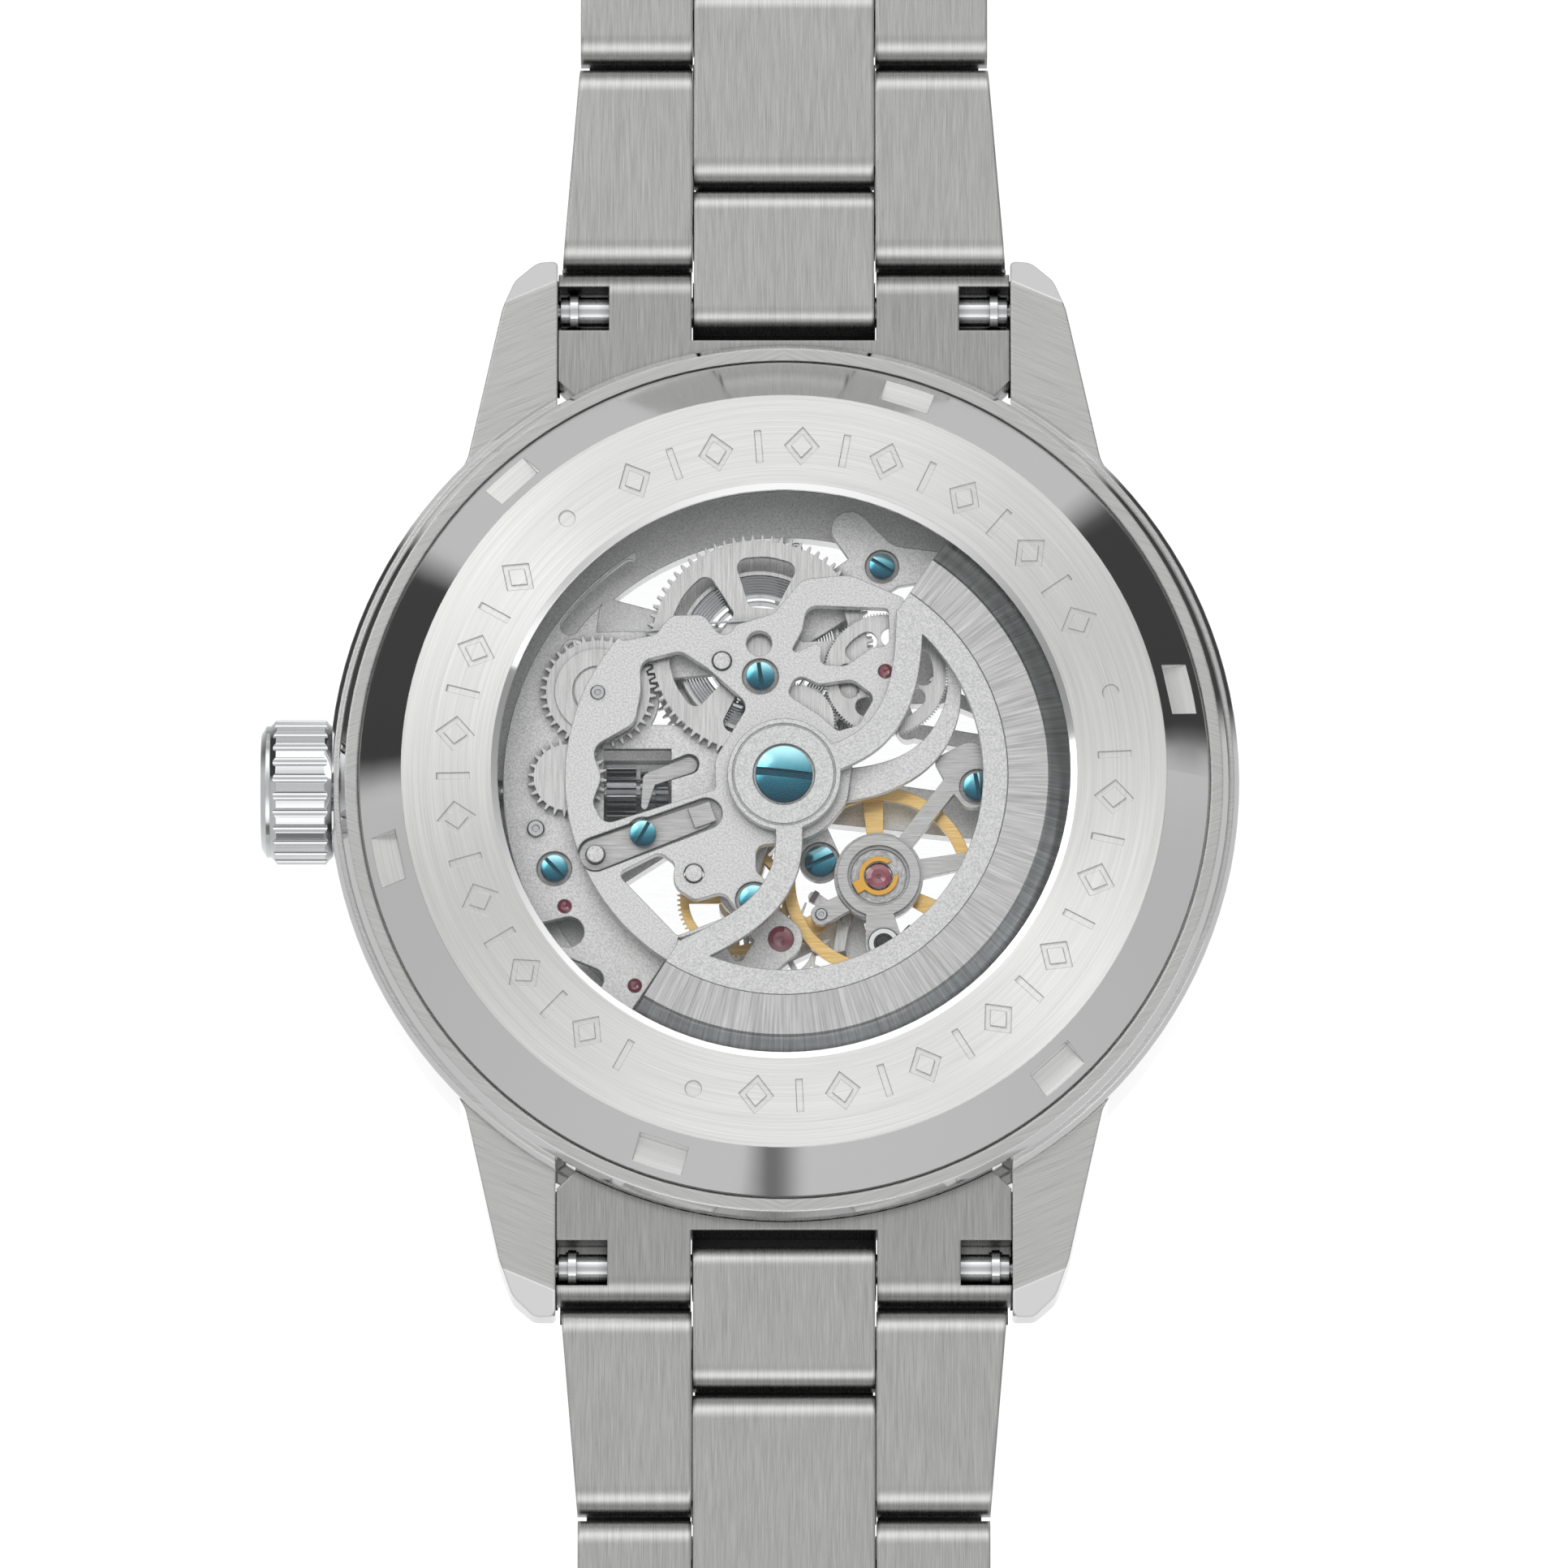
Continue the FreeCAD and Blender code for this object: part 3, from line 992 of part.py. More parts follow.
def ratchet_wheel():
    """The openworked ratchet wheel on the barrel arbor."""
    z0, z1 = WINDING_Z, WINDING_Z + WINDING_T
    x, y = BARREL
    wheel = gear(RATCHET_TEETH, WIND_MODULE * RATCHET_TEETH / 2, winding_phases()[2], z0, z1, x, y)
    for index in range(6):
        angle = 85 + index * 60
        window = [(1.9, -0.65, 0.3), (4.2, -1.6, 0.5), (4.5, 0.0, 3.0)]
        window += [(4.2, 1.6, 0.5), (1.9, 0.65, 0.3)]
        cut = plate(window, z0, z1)
        cut.rotate(vec(0, 0, 0), vec(0, 0, 1), angle)
        cut.translate(vec(x, y, 0))
        wheel = wheel.cut(cut)
    arbor = cylinder(ARBOR_R, PLATE_TOP + 0.1, z0, x, y)
    core = cylinder(0.9, PLATE_TOP + 0.75, BRIDGE_Z - 0.3, x, y)
    return joined([wheel, arbor, core])


def barrel_drum():
    """The going barrel: great wheel, open floor and thin wall."""
    x, y = BARREL
    z0 = PLATE_TOP + 0.2
    radius = GREAT_R
    wheel = gear(GREAT_TEETH, radius, great_phase(), z0, z0 + 0.3, x, y)
    wheel = spoked(wheel, x, y, 3.85, 1.2, 6, 55, 0.7, z0, z0 + 0.3)
    wall = ring(DRUM_R, DRUM_R - 0.2, z0 + 0.2, BRIDGE_Z - 0.3, x, y)
    return joined([wheel, wall]).cut(cylinder(ARBOR_R + RUN, z0, z0 + 1, x, y))


def spiral(x, y, radii, thickness, z0, z1):
    """A flat spiral strip made of half circles of the given radii."""
    outer, inner = [], []
    centre, side = x, 1
    for index, radius in enumerate(radii):
        if index:
            centre -= side * (radii[index - 1] - radius)
            side = -side
        for sign, edges in ((1, outer), (-1, inner)):
            size = radius + sign * thickness / 2
            start = vec(centre + side * size, y, z0)
            top = vec(centre, y + side * size, z0)
            end = vec(centre - side * size, y, z0)
            edges.append(Part.Arc(start, top, end).toShape())
    ends = []
    for pick in (0, -1):
        ends.append(Part.makeLine(outer[pick].Vertexes[pick].Point, inner[pick].Vertexes[pick].Point))
    wire = Part.Wire(Part.__sortEdges__(outer + inner + ends))
    return Part.Face(wire).extrude(vec(0, 0, z1 - z0))


def mainspring():
    """The mainspring: tight coils against the drum, wider ones towards the arbor."""
    z0 = PLATE_TOP + 0.75
    tight = [DRUM_R - 0.28 - 0.07 * step for step in range(13)]
    loose = [tight[-1] - 0.19 * (step + 1) for step in range(8)]
    return spiral(BARREL[0], BARREL[1], tight + loose, 0.07, z0, BRIDGE_Z - 0.35)


def stem_pinion(x0, x1, radius, teeth):
    """A toothed pinion lying along the stem."""
    body = gear(teeth, radius - 0.14, 0, 0, x1 - x0, 0, 0)
    body.rotate(vec(0, 0, 0), vec(0, 1, 0), 90)
    body.translate(vec(x0, 0, STEM_Z))
    return body


def winding_pinions():
    """The winding pinion and the grooved sliding pinion on the stem."""
    winding = stem_pinion(-8.6, -7.15, PINION_R, 18)
    slider = stem_pinion(-6.95, -6.6, SLIDER_R, 16).fuse(bar(0.8, -6.6, -6.2, 0, STEM_Z))
    slider = slider.fuse(stem_pinion(-6.2, -5.6, SLIDER_R, 16)).removeSplitter()
    bore = bar(STEM_R + RUN, -10, -5, 0, STEM_Z)
    return group([winding.cut(bore), slider.cut(bore)])


def crown():
    """The fluted crown with its stem."""
    x0, x1 = -CROWN_OUT, -CROWN_IN
    z = STEM_Z
    profile = [(0, 0), (CROWN_R - 0.7, 0), (CROWN_R - 0.3, 0.25), (CROWN_R - 0.3, 0.45), (CROWN_R, 0.75)]
    profile += [(CROWN_R, x1 - x0 - 0.35), (CROWN_R - 0.35, x1 - x0), (0, x1 - x0)]
    knob = turned(profile)
    for index in range(CROWN_FLUTES):
        px, py = polar(CROWN_R + 0.12, index * 360.0 / CROWN_FLUTES)
        knob = knob.cut(cylinder(0.27, 0.5, x1 - x0 + 1, px, py))
    knob = knob.cut(cylinder(TUBE_R - 0.3, x1 - x0 - 1.9, x1 - x0 + 1))
    knob.rotate(vec(0, 0, 0), vec(0, 1, 0), 90)
    knob.translate(vec(x0, 0, z))
    return joined([knob, bar(STEM_R, x0 + 1, -5.95, 0, z)])


# ---------------------------------------------------------------- going train

def great_phase():
    """Phase of the great wheel, with a tooth towards the centre."""
    return math.degrees(math.atan2(-BARREL[1], -BARREL[0]))


def leaf_pinion(teeth, radius, phase, z0, z1, x, y):
    """A leaf pinion with slim leaves."""
    return gear(teeth, radius, phase, z0, z1, x, y, height=0.7, depth=1.2, share=0.3)


def centre_wheel():
    """The centre wheel with its great pinion, hollow arbor and cannon pinion."""
    z = CENTRE_WHEEL_Z
    line = math.degrees(math.atan2(THIRD[1], THIRD[0]))
    wheel = gear(CENTRE_TEETH, CENTRE_WHEEL_R, line, z, z + WHEEL_T, 0, 0)
    wheel = spoked(wheel, 0, 0, CENTRE_WHEEL_R - 0.4, 0.9, 4, line, 0.35, z, z + WHEEL_T)
    pinion_phase = mated_phase(BARREL, GREAT_TEETH, great_phase(), (0, 0), GREAT_LEAVES)
    pinion = leaf_pinion(GREAT_LEAVES, GREAT_D - GREAT_R, pinion_phase, PLATE_TOP + 0.15, z, 0, 0)
    arbor = cylinder(CENTRE_R, MOTION_Z + 0.65, z + WHEEL_T)
    z0, z1 = MOTION_Z + 0.35, MOTION_Z + 0.65
    cannon = leaf_pinion(CANNON_TEETH, cannon_radius(), MOTION_ANGLE, z0, z1, 0, 0)
    tube = cylinder(0.42, 2.15, MOTION_Z + 0.35)
    whole = joined([wheel, pinion, arbor, cannon, tube])
    return whole.cut(cylinder(CENTRE_BORE, 0, BACK_TOP))


def cannon_radius():
    """Pitch radius of the cannon pinion."""
    return MOTION_D * CANNON_TEETH / (CANNON_TEETH + MINUTE_TEETH)


def third_wheel():
    """The third wheel and its pinion; it drives both the fourth wheel and the seconds pinion."""
    x, y = THIRD
    line = math.degrees(math.atan2(THIRD[1], THIRD[0]))
    down = math.degrees(math.atan2(FOURTH[1] - y, FOURTH[0] - x))
    z = THIRD_WHEEL_Z
    phase = mated_phase((0, 0), CENTRE_TEETH, line, THIRD, LEAVES)
    pinion = leaf_pinion(LEAVES, CENTRE_D - CENTRE_WHEEL_R, phase, CENTRE_WHEEL_Z - 0.05, z, x, y)
    wheel = gear(THIRD_TEETH, THIRD_WHEEL_R, down, z, z + WHEEL_T, x, y)
    wheel = spoked(wheel, x, y, THIRD_WHEEL_R - 0.45, 0.75, 5, 20, 0.35, z, z + WHEEL_T)
    pivots = cylinder(PIVOT_R, PLATE_TOP + 0.05, BRIDGE_TOP, x, y)
    return joined([pinion, wheel, pivots])


def fourth_wheel():
    """The fourth wheel and its pinion."""
    x, y = FOURTH
    line = math.degrees(math.atan2(ESCAPE[1] - y, ESCAPE[0] - x))
    back = math.degrees(math.atan2(y - THIRD[1], x - THIRD[0]))
    z = FOURTH_WHEEL_Z
    wheel = gear(FOURTH_TEETH, FOURTH_WHEEL_R, line, z, z + WHEEL_T, x, y)
    wheel = spoked(wheel, x, y, FOURTH_WHEEL_R - 0.5, 0.7, 4, 0, 0.4, z, z + WHEEL_T)
    phase = mated_phase(THIRD, THIRD_TEETH, back, FOURTH, LEAVES)
    pinion = leaf_pinion(LEAVES, THIRD_D - THIRD_WHEEL_R, phase, THIRD_WHEEL_Z - 0.04, z, x, y)
    pivots = cylinder(PIVOT_R, PLATE_TOP + 0.05, BRIDGE_TOP, x, y)
    return joined([wheel, pinion, pivots])


def escape_wheel():
    """The escape wheel with its raked teeth and pinion."""
    x, y = ESCAPE
    z = ESCAPE_WHEEL_Z
    corners = []
    for index in range(ESCAPE_TEETH):
        middle = index * 360.0 / ESCAPE_TEETH
        for inset, turn in ((0.62, 0), (0, 4.4), (0.02, 6.4), (0.5, 5.2)):
            radius = ESCAPE_R - inset
            px, py = polar(radius, middle + turn, x, y)
            corners.append(vec(px, py, z))
    wheel = Part.Face(Part.makePolygon(corners + corners[:1])).extrude(vec(0, 0, WHEEL_T))
    wheel = spoked(wheel, x, y, ESCAPE_R - 0.85, 0.55, 5, 10, 0.28, z, z + WHEEL_T)
    line = math.degrees(math.atan2(y - FOURTH[1], x - FOURTH[0]))
    phase = mated_phase(FOURTH, FOURTH_TEETH, line, ESCAPE, LEAVES)
    pinion = leaf_pinion(LEAVES, FOURTH_D - FOURTH_WHEEL_R, phase, z, FOURTH_WHEEL_Z + WHEEL_T + 0.04, x, y)
    pivots = cylinder(PIVOT_R, PLATE_TOP + 0.05, BRIDGE_TOP - 0.32, x, y)
    return joined([wheel, pinion, pivots])


def pallet_fork():
    """The anchor, its fork and the two pallet stones."""
    x, y = PALLET
    z0, z1 = ESCAPE_WHEEL_Z, ESCAPE_WHEEL_Z + WHEEL_T
    parts = [cylinder(0.42, z0, z1, x, y)]
    toward = math.atan2(BALANCE[1] - y, BALANCE[0] - x)
    reach = math.hypot(BALANCE[0] - x, BALANCE[1] - y) - 0.55
    tip = (x + reach * math.cos(toward), y + reach * math.sin(toward))
    parts.append(lever(x, y, 0.28, tip[0], tip[1], 0.22, z0, z1))
    escape = math.degrees(math.atan2(ESCAPE[1] - y, ESCAPE[0] - x))
    for side in (1, -1):
        ax, ay = polar(ESCAPE_R + 0.42, escape + 180 + side * 33, *ESCAPE)
        parts.append(lever(x, y, 0.3, ax, ay, 0.28, z0, z1))
    parts.append(cylinder(PIVOT_R, PLATE_TOP + 0.05, z1 + 0.2, x, y))
    return joined(parts)


def balance_wheel():
    """The balance: a heavy rim on three tapered spokes, and its staff and roller."""
    x, y = BALANCE
    z0, z1 = BALANCE_Z, BALANCE_Z + 0.4
    rim = ring(BALANCE_R, BALANCE_R - RIM_W, z0, z1, x, y)
    parts = [rim, cylinder(0.7, z0, z0 + 0.2, x, y)]
    for index in range(3):
        px, py = polar(BALANCE_R - RIM_W + 0.05, 94 + index * 120, x, y)
        arm = lever(x, y, 0.24, px, py, 0.52, z0, z0 + 0.2)
        parts.append(arm.common(cylinder(BALANCE_R - 0.1, z0, z1, x, y)))
    parts.append(cylinder(0.2, PLATE_TOP + 0.1, COCK_TOP - 0.65, x, y))
    parts.append(cylinder(0.45, z0 - 0.18, z0, x, y))
    return joined(parts)


def hairspring():
    """The hairspring on its collet."""
    radii = [0.5 + 0.085 * step for step in range(16)]
    coil = spiral(BALANCE[0], BALANCE[1], radii, 0.035, SPRING_Z, SPRING_Z + 0.1)
    return coil


# ---------------------------------------------------------------- hands and motion work


def hand(length, tail, width, z0, z1, boss, bore, slit):
    """A tapered skeleton hand that points to 12 o'clock."""
    blade = [(-width / 2, 0, 0), (-width * 0.35, length * 0.86, 0), (0, length, 0.05)]
    blade += [(width * 0.35, length * 0.86, 0)]
    blade += [(width / 2, 0, 0), (width / 3, -tail, 0.1), (-width / 3, -tail, 0.1)]
    shape = joined([plate(blade, z0, z1), cylinder(boss, z0, z1)])
    if slit:
        shape = shape.cut(plate([(-width * 0.25, boss + 0.6, 0.1), (width * 0.25, boss + 0.6, 0.1),
                                 (width * 0.17, length * 0.8, 0.1),
                                 (-width * 0.17, length * 0.8, 0.1)], z0, z1))
    return shape.cut(cylinder(bore, z0, z1)) if bore else shape


def hour_hand():
    """The hour hand with the hour wheel and its pipe."""
    pipe = cylinder(0.75, 2.7, MOTION_Z + 0.2)
    minute_phase = MOTION_ANGLE + 180
    phase = mated_phase(MINUTE, MINUTE_LEAVES, minute_phase, (0, 0), HOUR_TEETH)
    wheel = gear(HOUR_TEETH, MOTION_D * HOUR_TEETH / (HOUR_TEETH + MINUTE_LEAVES), phase,
                 MOTION_Z, MOTION_Z + 0.2, 0, 0)
    blade = hand(8.8, 1.2, 1.5, 2.75, 2.9, 1.1, 0, True)
    return joined([pipe, wheel, blade]).cut(cylinder(0.42 + RUN, 0, BACK_TOP))


def minute_hand():
    """The minute hand."""
    return hand(13.2, 1.6, 1.2, 2.3, 2.45, 0.85, 0.42, True)


def second_hand():
    """The second hand on its long arbor, with the seconds pinion at the other end."""
    blade = hand(14.2, 4.2, 0.4, 1.9, 2.0, 0.6, 0, False)
    arbor = cylinder(CENTRE_BORE - RUN - 0.02, 1.9, THIRD_WHEEL_Z)
    down = math.degrees(math.atan2(FOURTH[1] - THIRD[1], FOURTH[0] - THIRD[0]))
    phase = mated_phase(THIRD, THIRD_TEETH, down, (0, 0), LEAVES)
    radius = CENTRE_D / (THIRD_TEETH / LEAVES + 1)
    pinion = leaf_pinion(LEAVES, radius, phase, THIRD_WHEEL_Z - 0.05, THIRD_WHEEL_Z + WHEEL_T + 0.05, 0, 0)
    return joined([blade, arbor, pinion])


def minute_wheel():
    """The minute wheel of the motion work."""
    x, y = MINUTE
    z = MOTION_Z + 0.35
    phase = mated_phase((0, 0), CANNON_TEETH, MOTION_ANGLE, MINUTE, MINUTE_TEETH)
    wheel = gear(MINUTE_TEETH, MOTION_D - cannon_radius(), phase, z, z + 0.2, x, y)
    pinion = leaf_pinion(MINUTE_LEAVES, MOTION_D * MINUTE_LEAVES / (HOUR_TEETH + MINUTE_LEAVES),
                         MOTION_ANGLE + 180, MOTION_Z, z, x, y)
    bore = cylinder(MOTION_POST_R + RUN, MOTION_Z, z + 1, x, y)
    return joined([wheel, pinion]).cut(bore)


# ---------------------------------------------------------------- build

END_PIVOT = HEAD_Y + LINK_COUNT * LINK_PITCH
FAR_PIVOT = END_PIVOT + END_GAP

pieces = {
    "mid_case": mid_case(),
    "bezel": bezel(),
    "crystal": crystal(),
    "gaskets": gaskets(),
    "chapter_ring": chapter_ring(),
    "dial_ring": dial_ring(),
    "case_back": case_back(),
    "back_glass": back_glass(),
    "crown_tube": crown_tube(),
    "spring_bars": spring_bars(),
    "end_links": end_links(),
    "main_plate": main_plate(),
    "barrel_bridge": barrel_bridge(),
    "train_bridge": train_bridge(),
    "balance_cock": balance_cock(),
    "regulator": regulator(),
    "shock_setting": shock_setting(),
    "jewels": jewels(),
    "automatic_bridge": automatic_bridge(),
    "bridge_screws": bridge_screws(),
    "click_spring": click_spring(),
    "setting_lever": setting_lever(),
    "rotor_plate": rotor_plate(),
    "rotor_weight": rotor_weight(),
    "rotor_screw": rotor_screw(),
    "reverser_wheel": reverser_wheel(),
    "auto_wheel": auto_wheel(),
    "barrel_drum": barrel_drum(),
    "mainspring": mainspring(),
    "ratchet_wheel": ratchet_wheel(),
    "idler_wheel": idler_wheel(),
    "crown_wheel": crown_wheel(),
    "winding_pinions": winding_pinions(),
    "crown": crown(),
    "centre_wheel": centre_wheel(),
    "third_wheel": third_wheel(),
    "fourth_wheel": fourth_wheel(),
    "escape_wheel": escape_wheel(),
    "pallet_fork": pallet_fork(),
    "balance_wheel": balance_wheel(),
    "hairspring": hairspring(),
    "hour_hand": hour_hand(),
    "minute_hand": minute_hand(),
    "second_hand": second_hand(),
    "minute_wheel": minute_wheel(),
    "half_link_12": half_link(),
    "half_link_6": mirrored(half_link()),
    "clasp_wing_6": clasp_wing(-END_PIVOT, -END_PIVOT + WING_REACH),
    "clasp_blade": clasp_blade(-END_PIVOT + WING_REACH, -FAR_PIVOT - WING_REACH),
    "clasp_wing_12": clasp_wing(-FAR_PIVOT, -FAR_PIVOT - WING_REACH),
}
for index in range(LINK_COUNT):
    link = full_link(index)
    pieces["link_12_%d" % (index + 1)] = link
    pieces["link_6_%d" % (index + 1)] = mirrored(link)

for name, shape in pieces.items():
    save(name, shape)
    print(name, len(shape.Solids), round(shape.Volume, 2), shape.isValid())
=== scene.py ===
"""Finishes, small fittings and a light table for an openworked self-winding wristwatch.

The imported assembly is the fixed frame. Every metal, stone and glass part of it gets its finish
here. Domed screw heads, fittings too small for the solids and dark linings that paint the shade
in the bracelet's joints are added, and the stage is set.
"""

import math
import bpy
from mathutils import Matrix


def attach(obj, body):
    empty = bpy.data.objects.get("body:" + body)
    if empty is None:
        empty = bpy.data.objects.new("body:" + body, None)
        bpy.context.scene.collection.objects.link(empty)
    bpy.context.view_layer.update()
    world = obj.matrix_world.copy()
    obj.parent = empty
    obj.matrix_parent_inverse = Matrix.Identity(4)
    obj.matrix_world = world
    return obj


bl_info = {
    "name": "Openworked Wristwatch",
    "version": (1, 0, 0),
    "blender": (4, 5, 0),
    "location": "View3D > Sidebar > Watch",
    "description": "Finishes and fittings of a self-winding wristwatch seen from its glazed back",
    "category": "Object",
}

import bmesh
import bpy
import numpy as np
from bpy.props import FloatProperty, PointerProperty
from bpy.types import Operator, Panel, PropertyGroup
from mathutils import Vector

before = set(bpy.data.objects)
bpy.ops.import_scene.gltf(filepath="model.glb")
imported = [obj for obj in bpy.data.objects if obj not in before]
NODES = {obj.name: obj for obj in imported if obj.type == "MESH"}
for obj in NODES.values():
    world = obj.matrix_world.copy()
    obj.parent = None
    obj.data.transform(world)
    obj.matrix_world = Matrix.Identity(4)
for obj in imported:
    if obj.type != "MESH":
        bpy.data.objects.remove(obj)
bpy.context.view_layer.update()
MM = 0.001


# ---------------------------------------------------------------- sizes and places


# Black cards of the studio: first and last direction as a share of the turn from -180 degrees,
# and their tone.
STUDIO_CARDS = ((0.238, 0.252, 0.3), (0.541, 0.632, 0.015), (0.894, 0.97, 0.015))

# Brightness of the tent by the height of the direction, above 12 and 6 o'clock and at the flanks,
# as shares of the strength.
TENT_BOXES = [(0.0, 0.45), (0.1, 0.38), (0.3, 0.32), (0.5, 0.75), (0.68, 1.0), (0.86, 0.75),
              (0.96, 0.43), (1.0, 0.4)]
TENT_FLANKS = [(0.0, 0.32), (0.3, 0.29), (0.5, 0.2), (0.7, 0.18), (0.88, 0.24), (0.97, 0.36),
               (1.0, 0.4)]

# Soft boxes: name, place, width and height, power.
STUDIO_LAMPS = [("Key box", (-0.35, 0.25, 0.55), (0.35, 0.35), 0.8),
                ("Fill box", (0.45, -0.2, 0.5), (0.3, 0.3), 0.4)]

# Places of the bracelet and the balance, in mm.
LINK_FRONT = 5.6
FIRST_PIVOT = 28.0
LINK_PITCH = 10.2
STRAP_WIDTH = 19.8
BALANCE = (4.57, -4.65)

# Blued bridge screws: x, y, radius, top face and direction of the slot.
BRIDGE_SCREWS = ((4.75, 10.75, 0.62, 8.45, 147), (-11.1, -4.15, 0.65, 8.45, 132),
                 (-1.14, 5.0, 0.68, 10.1, 98), (-6.8, -2.75, 0.63, 10.1, 62),
                 (9.35, -0.25, 0.68, 9.1, 100), (1.75, -3.8, 0.75, 8.45, 25),
                 (-1.45, -6.0, 0.7, 10.1, 40))

# Polished studs and rivets: name, x, y, radius, foot and top.
STUDS = (("stud_left", -1.6, 12.1, 0.3, 5.65, 6.1), ("stud_middle", -0.7, 12.1, 0.3, 5.65, 6.1),
         ("stud_right", 0.6, 12.1, 0.3, 5.65, 6.1), ("rivet_lever", -12.0, -2.2, 0.42, 8.2, 8.45),
         ("rivet_bridge", -9.0, 4.2, 0.36, 9.85, 10.0), ("rivet_carrier", 1.8, -6.55, 0.3, 8.9, 9.15),
         ("stud_barrel", -10.15, 6.55, 0.4, 8.2, 8.45))

# Distance from the axis, in mm, at which round lines have their stated length and radial lines
# their stated pitch.
ROUND_REACH = 14.0
RADIAL_REACH = 12.0

# A face counts as level when the height of its normal is above this: a lean of about 10 degrees.
LEVEL_FACE = 0.985

# Height in mm above which the shock setting is its gilt lyre spring.
SPRING_LEVEL = 8.86

# The rotor's screw head: radius, top face and direction of the slot.
ROTOR_SCREW = (1.38, 10.97, -6)

# Dark linings that paint the shade in the link joints, in mm. Middle and outer ones run from side
# to side of the strap, on either side of the gap between the rows. Thin dark blades stand in that
# gap as painted shade too.
ROW_GAP = 4.41
MIDDLE_HALF = 4.3
OUTER_START = 4.5
OUTER_INSET = 0.4
MIDDLE_OFFSET = 1.55
OUTER_OFFSET = -2.6
BLADE_RUN = (-1.5, 7.8)
JOINT_WIDTH = 1.3
BLADE_WIDTH = 0.05
BLADE_TOP = LINK_FRONT + 2.3

# Dark linings that paint the shade in the end links and lugs, in mm from the middle of the watch.
POCKET_HALF = 4.4
POCKET_Y = 22.4
END_SPAN = (4.5, 10.8)
END_Y = 25.5
LUG_X = 10.97
LUG_RUN = (19.6, 25.4)
SIDE_RUN = (22.0, 24.9)
END_WIDTH = 1.1
LUG_LINING = 0.12
LUG_LIFT = 0.3

# Dial batons, in mm: inner and outer radius, width, foot and top.
BATON = (13.6, 15.2, 0.55, 3.08, 3.21)

# Place of the beat adjuster's screw, in mm.
BEAT_SCREW = (4.82, -8.0)

# Mirrors see the light table grey from the first to the second distance in mm, down to this level.
TABLE_FADE = (22.0, 36.0)
TABLE_LEVEL = 0.62

# The tent's brightest light, the grey that the camera sees of it, and the height of the direction
# between which its black cards end.
TENT_STRENGTH = 2.0
TENT_GREY = (0.45, 0.45, 0.45, 1)
CARD_TOP = (0.3, 0.42)

# The camera's distance in metres and its sensor in mm.
CAMERA_DISTANCE = 0.9
SENSOR = 36.0


# ---------------------------------------------------------------- helpers


def linear(hex_code):
    """A colour given as sRGB hex, turned to linear RGB with alpha 1."""
    values = [int(hex_code[i:i + 2], 16) / 255.0 for i in (1, 3, 5)]
    turned = [c / 12.92 if c <= 0.04045 else ((c + 0.055) / 1.055) ** 2.4 for c in values]
    return (*turned, 1.0)


def add(tree, kind, settings=None, **links):
    """Adds one node. Settings name its properties or sockets; links name sockets fed by others.

    A socket name's spaces are written as underscores, and a number after "in" is its index.
    """
    node = tree.nodes.new(kind)
    for key, value in (settings or {}).items():
        if isinstance(key, int):
            node.inputs[key].default_value = value
        elif hasattr(node, key):
            setattr(node, key, value)
        else:
            node.inputs[key].default_value = value
    for key, source in links.items():
        socket = node.inputs[int(key[2:])] if key[:2] == "in" else node.inputs[key.replace("_", " ")]
        tree.links.new(source, socket)
    return node


def start(name):
    """A new material with its tree, its Principled shader and its object position in mm."""
    material = bpy.data.materials.new(name)
    material.use_nodes = True
    tree = material.node_tree
    shader = tree.nodes["Principled BSDF"]
    place = add(tree, "ShaderNodeTexCoord").outputs["Object"]
    mm = add(tree, "ShaderNodeVectorMath", {"operation": "SCALE", "Scale": 1000.0}, in0=place)
    return material, tree, shader, mm.outputs[0]


def math_node(tree, operation, first, second=None):
    """One scalar operation; each operand is a socket or a number."""
    node = add(tree, "ShaderNodeMath", {"operation": operation})
    for index, value in enumerate((first, second)):
        if isinstance(value, (int, float)):
            node.inputs[index].default_value = value
        elif value is not None:
            tree.links.new(value, node.inputs[index])
    return node.outputs[0]


def streaks(tree, mm, lay, pitch, length, centre=(0.0, 0.0)):
    """Noise drawn out along the brushing: lay is along_x, along_y, mirrored, round or radial.

    The mirrored lay falls away from the middle on both sides, as lugs are brushed.
    """
    if lay in ("round", "radial"):
        flat = add(tree, "ShaderNodeMapping", {"Location": (-centre[0], -centre[1], 0),
                                               "Scale": (1, 1, 0)}, Vector=mm).outputs[0]
        radius = add(tree, "ShaderNodeVectorMath", {"operation": "LENGTH"},
                     in0=flat).outputs["Value"]
        unit = add(tree, "ShaderNodeVectorMath", {"operation": "NORMALIZE"}, in0=flat).outputs[0]
        spin, step = ROUND_REACH / length, pitch
        if lay == "radial":
            spin, step = RADIAL_REACH / pitch, length
        turn = add(tree, "ShaderNodeVectorMath", {"operation": "SCALE", "Scale": spin},
                   in0=unit).outputs[0]
        lift = add(tree, "ShaderNodeCombineXYZ", None,
                   Z=math_node(tree, "MULTIPLY", radius, 1.0 / step)).outputs[0]
        vector = add(tree, "ShaderNodeVectorMath", {"operation": "ADD"}, in0=turn,
                     in1=lift).outputs[0]
    else:
        angle = math.radians({"along_x": 90, "along_y": 0, "mirrored": 112}[lay])
        if lay == "mirrored":
            mm = add(tree, "ShaderNodeVectorMath", {"operation": "ABSOLUTE"}, in0=mm).outputs[0]
        turned = add(tree, "ShaderNodeMapping", {"Rotation": (0, 0, angle)}, Vector=mm).outputs[0]
        vector = add(tree, "ShaderNodeMapping", {"Scale": (1 / pitch, 1 / length, 1 / length)},
                     Vector=turned).outputs[0]
    return add(tree, "ShaderNodeTexNoise", {"Scale": 1.0, "Detail": 3.0, "Roughness": 0.6},
               Vector=vector).outputs["Fac"]


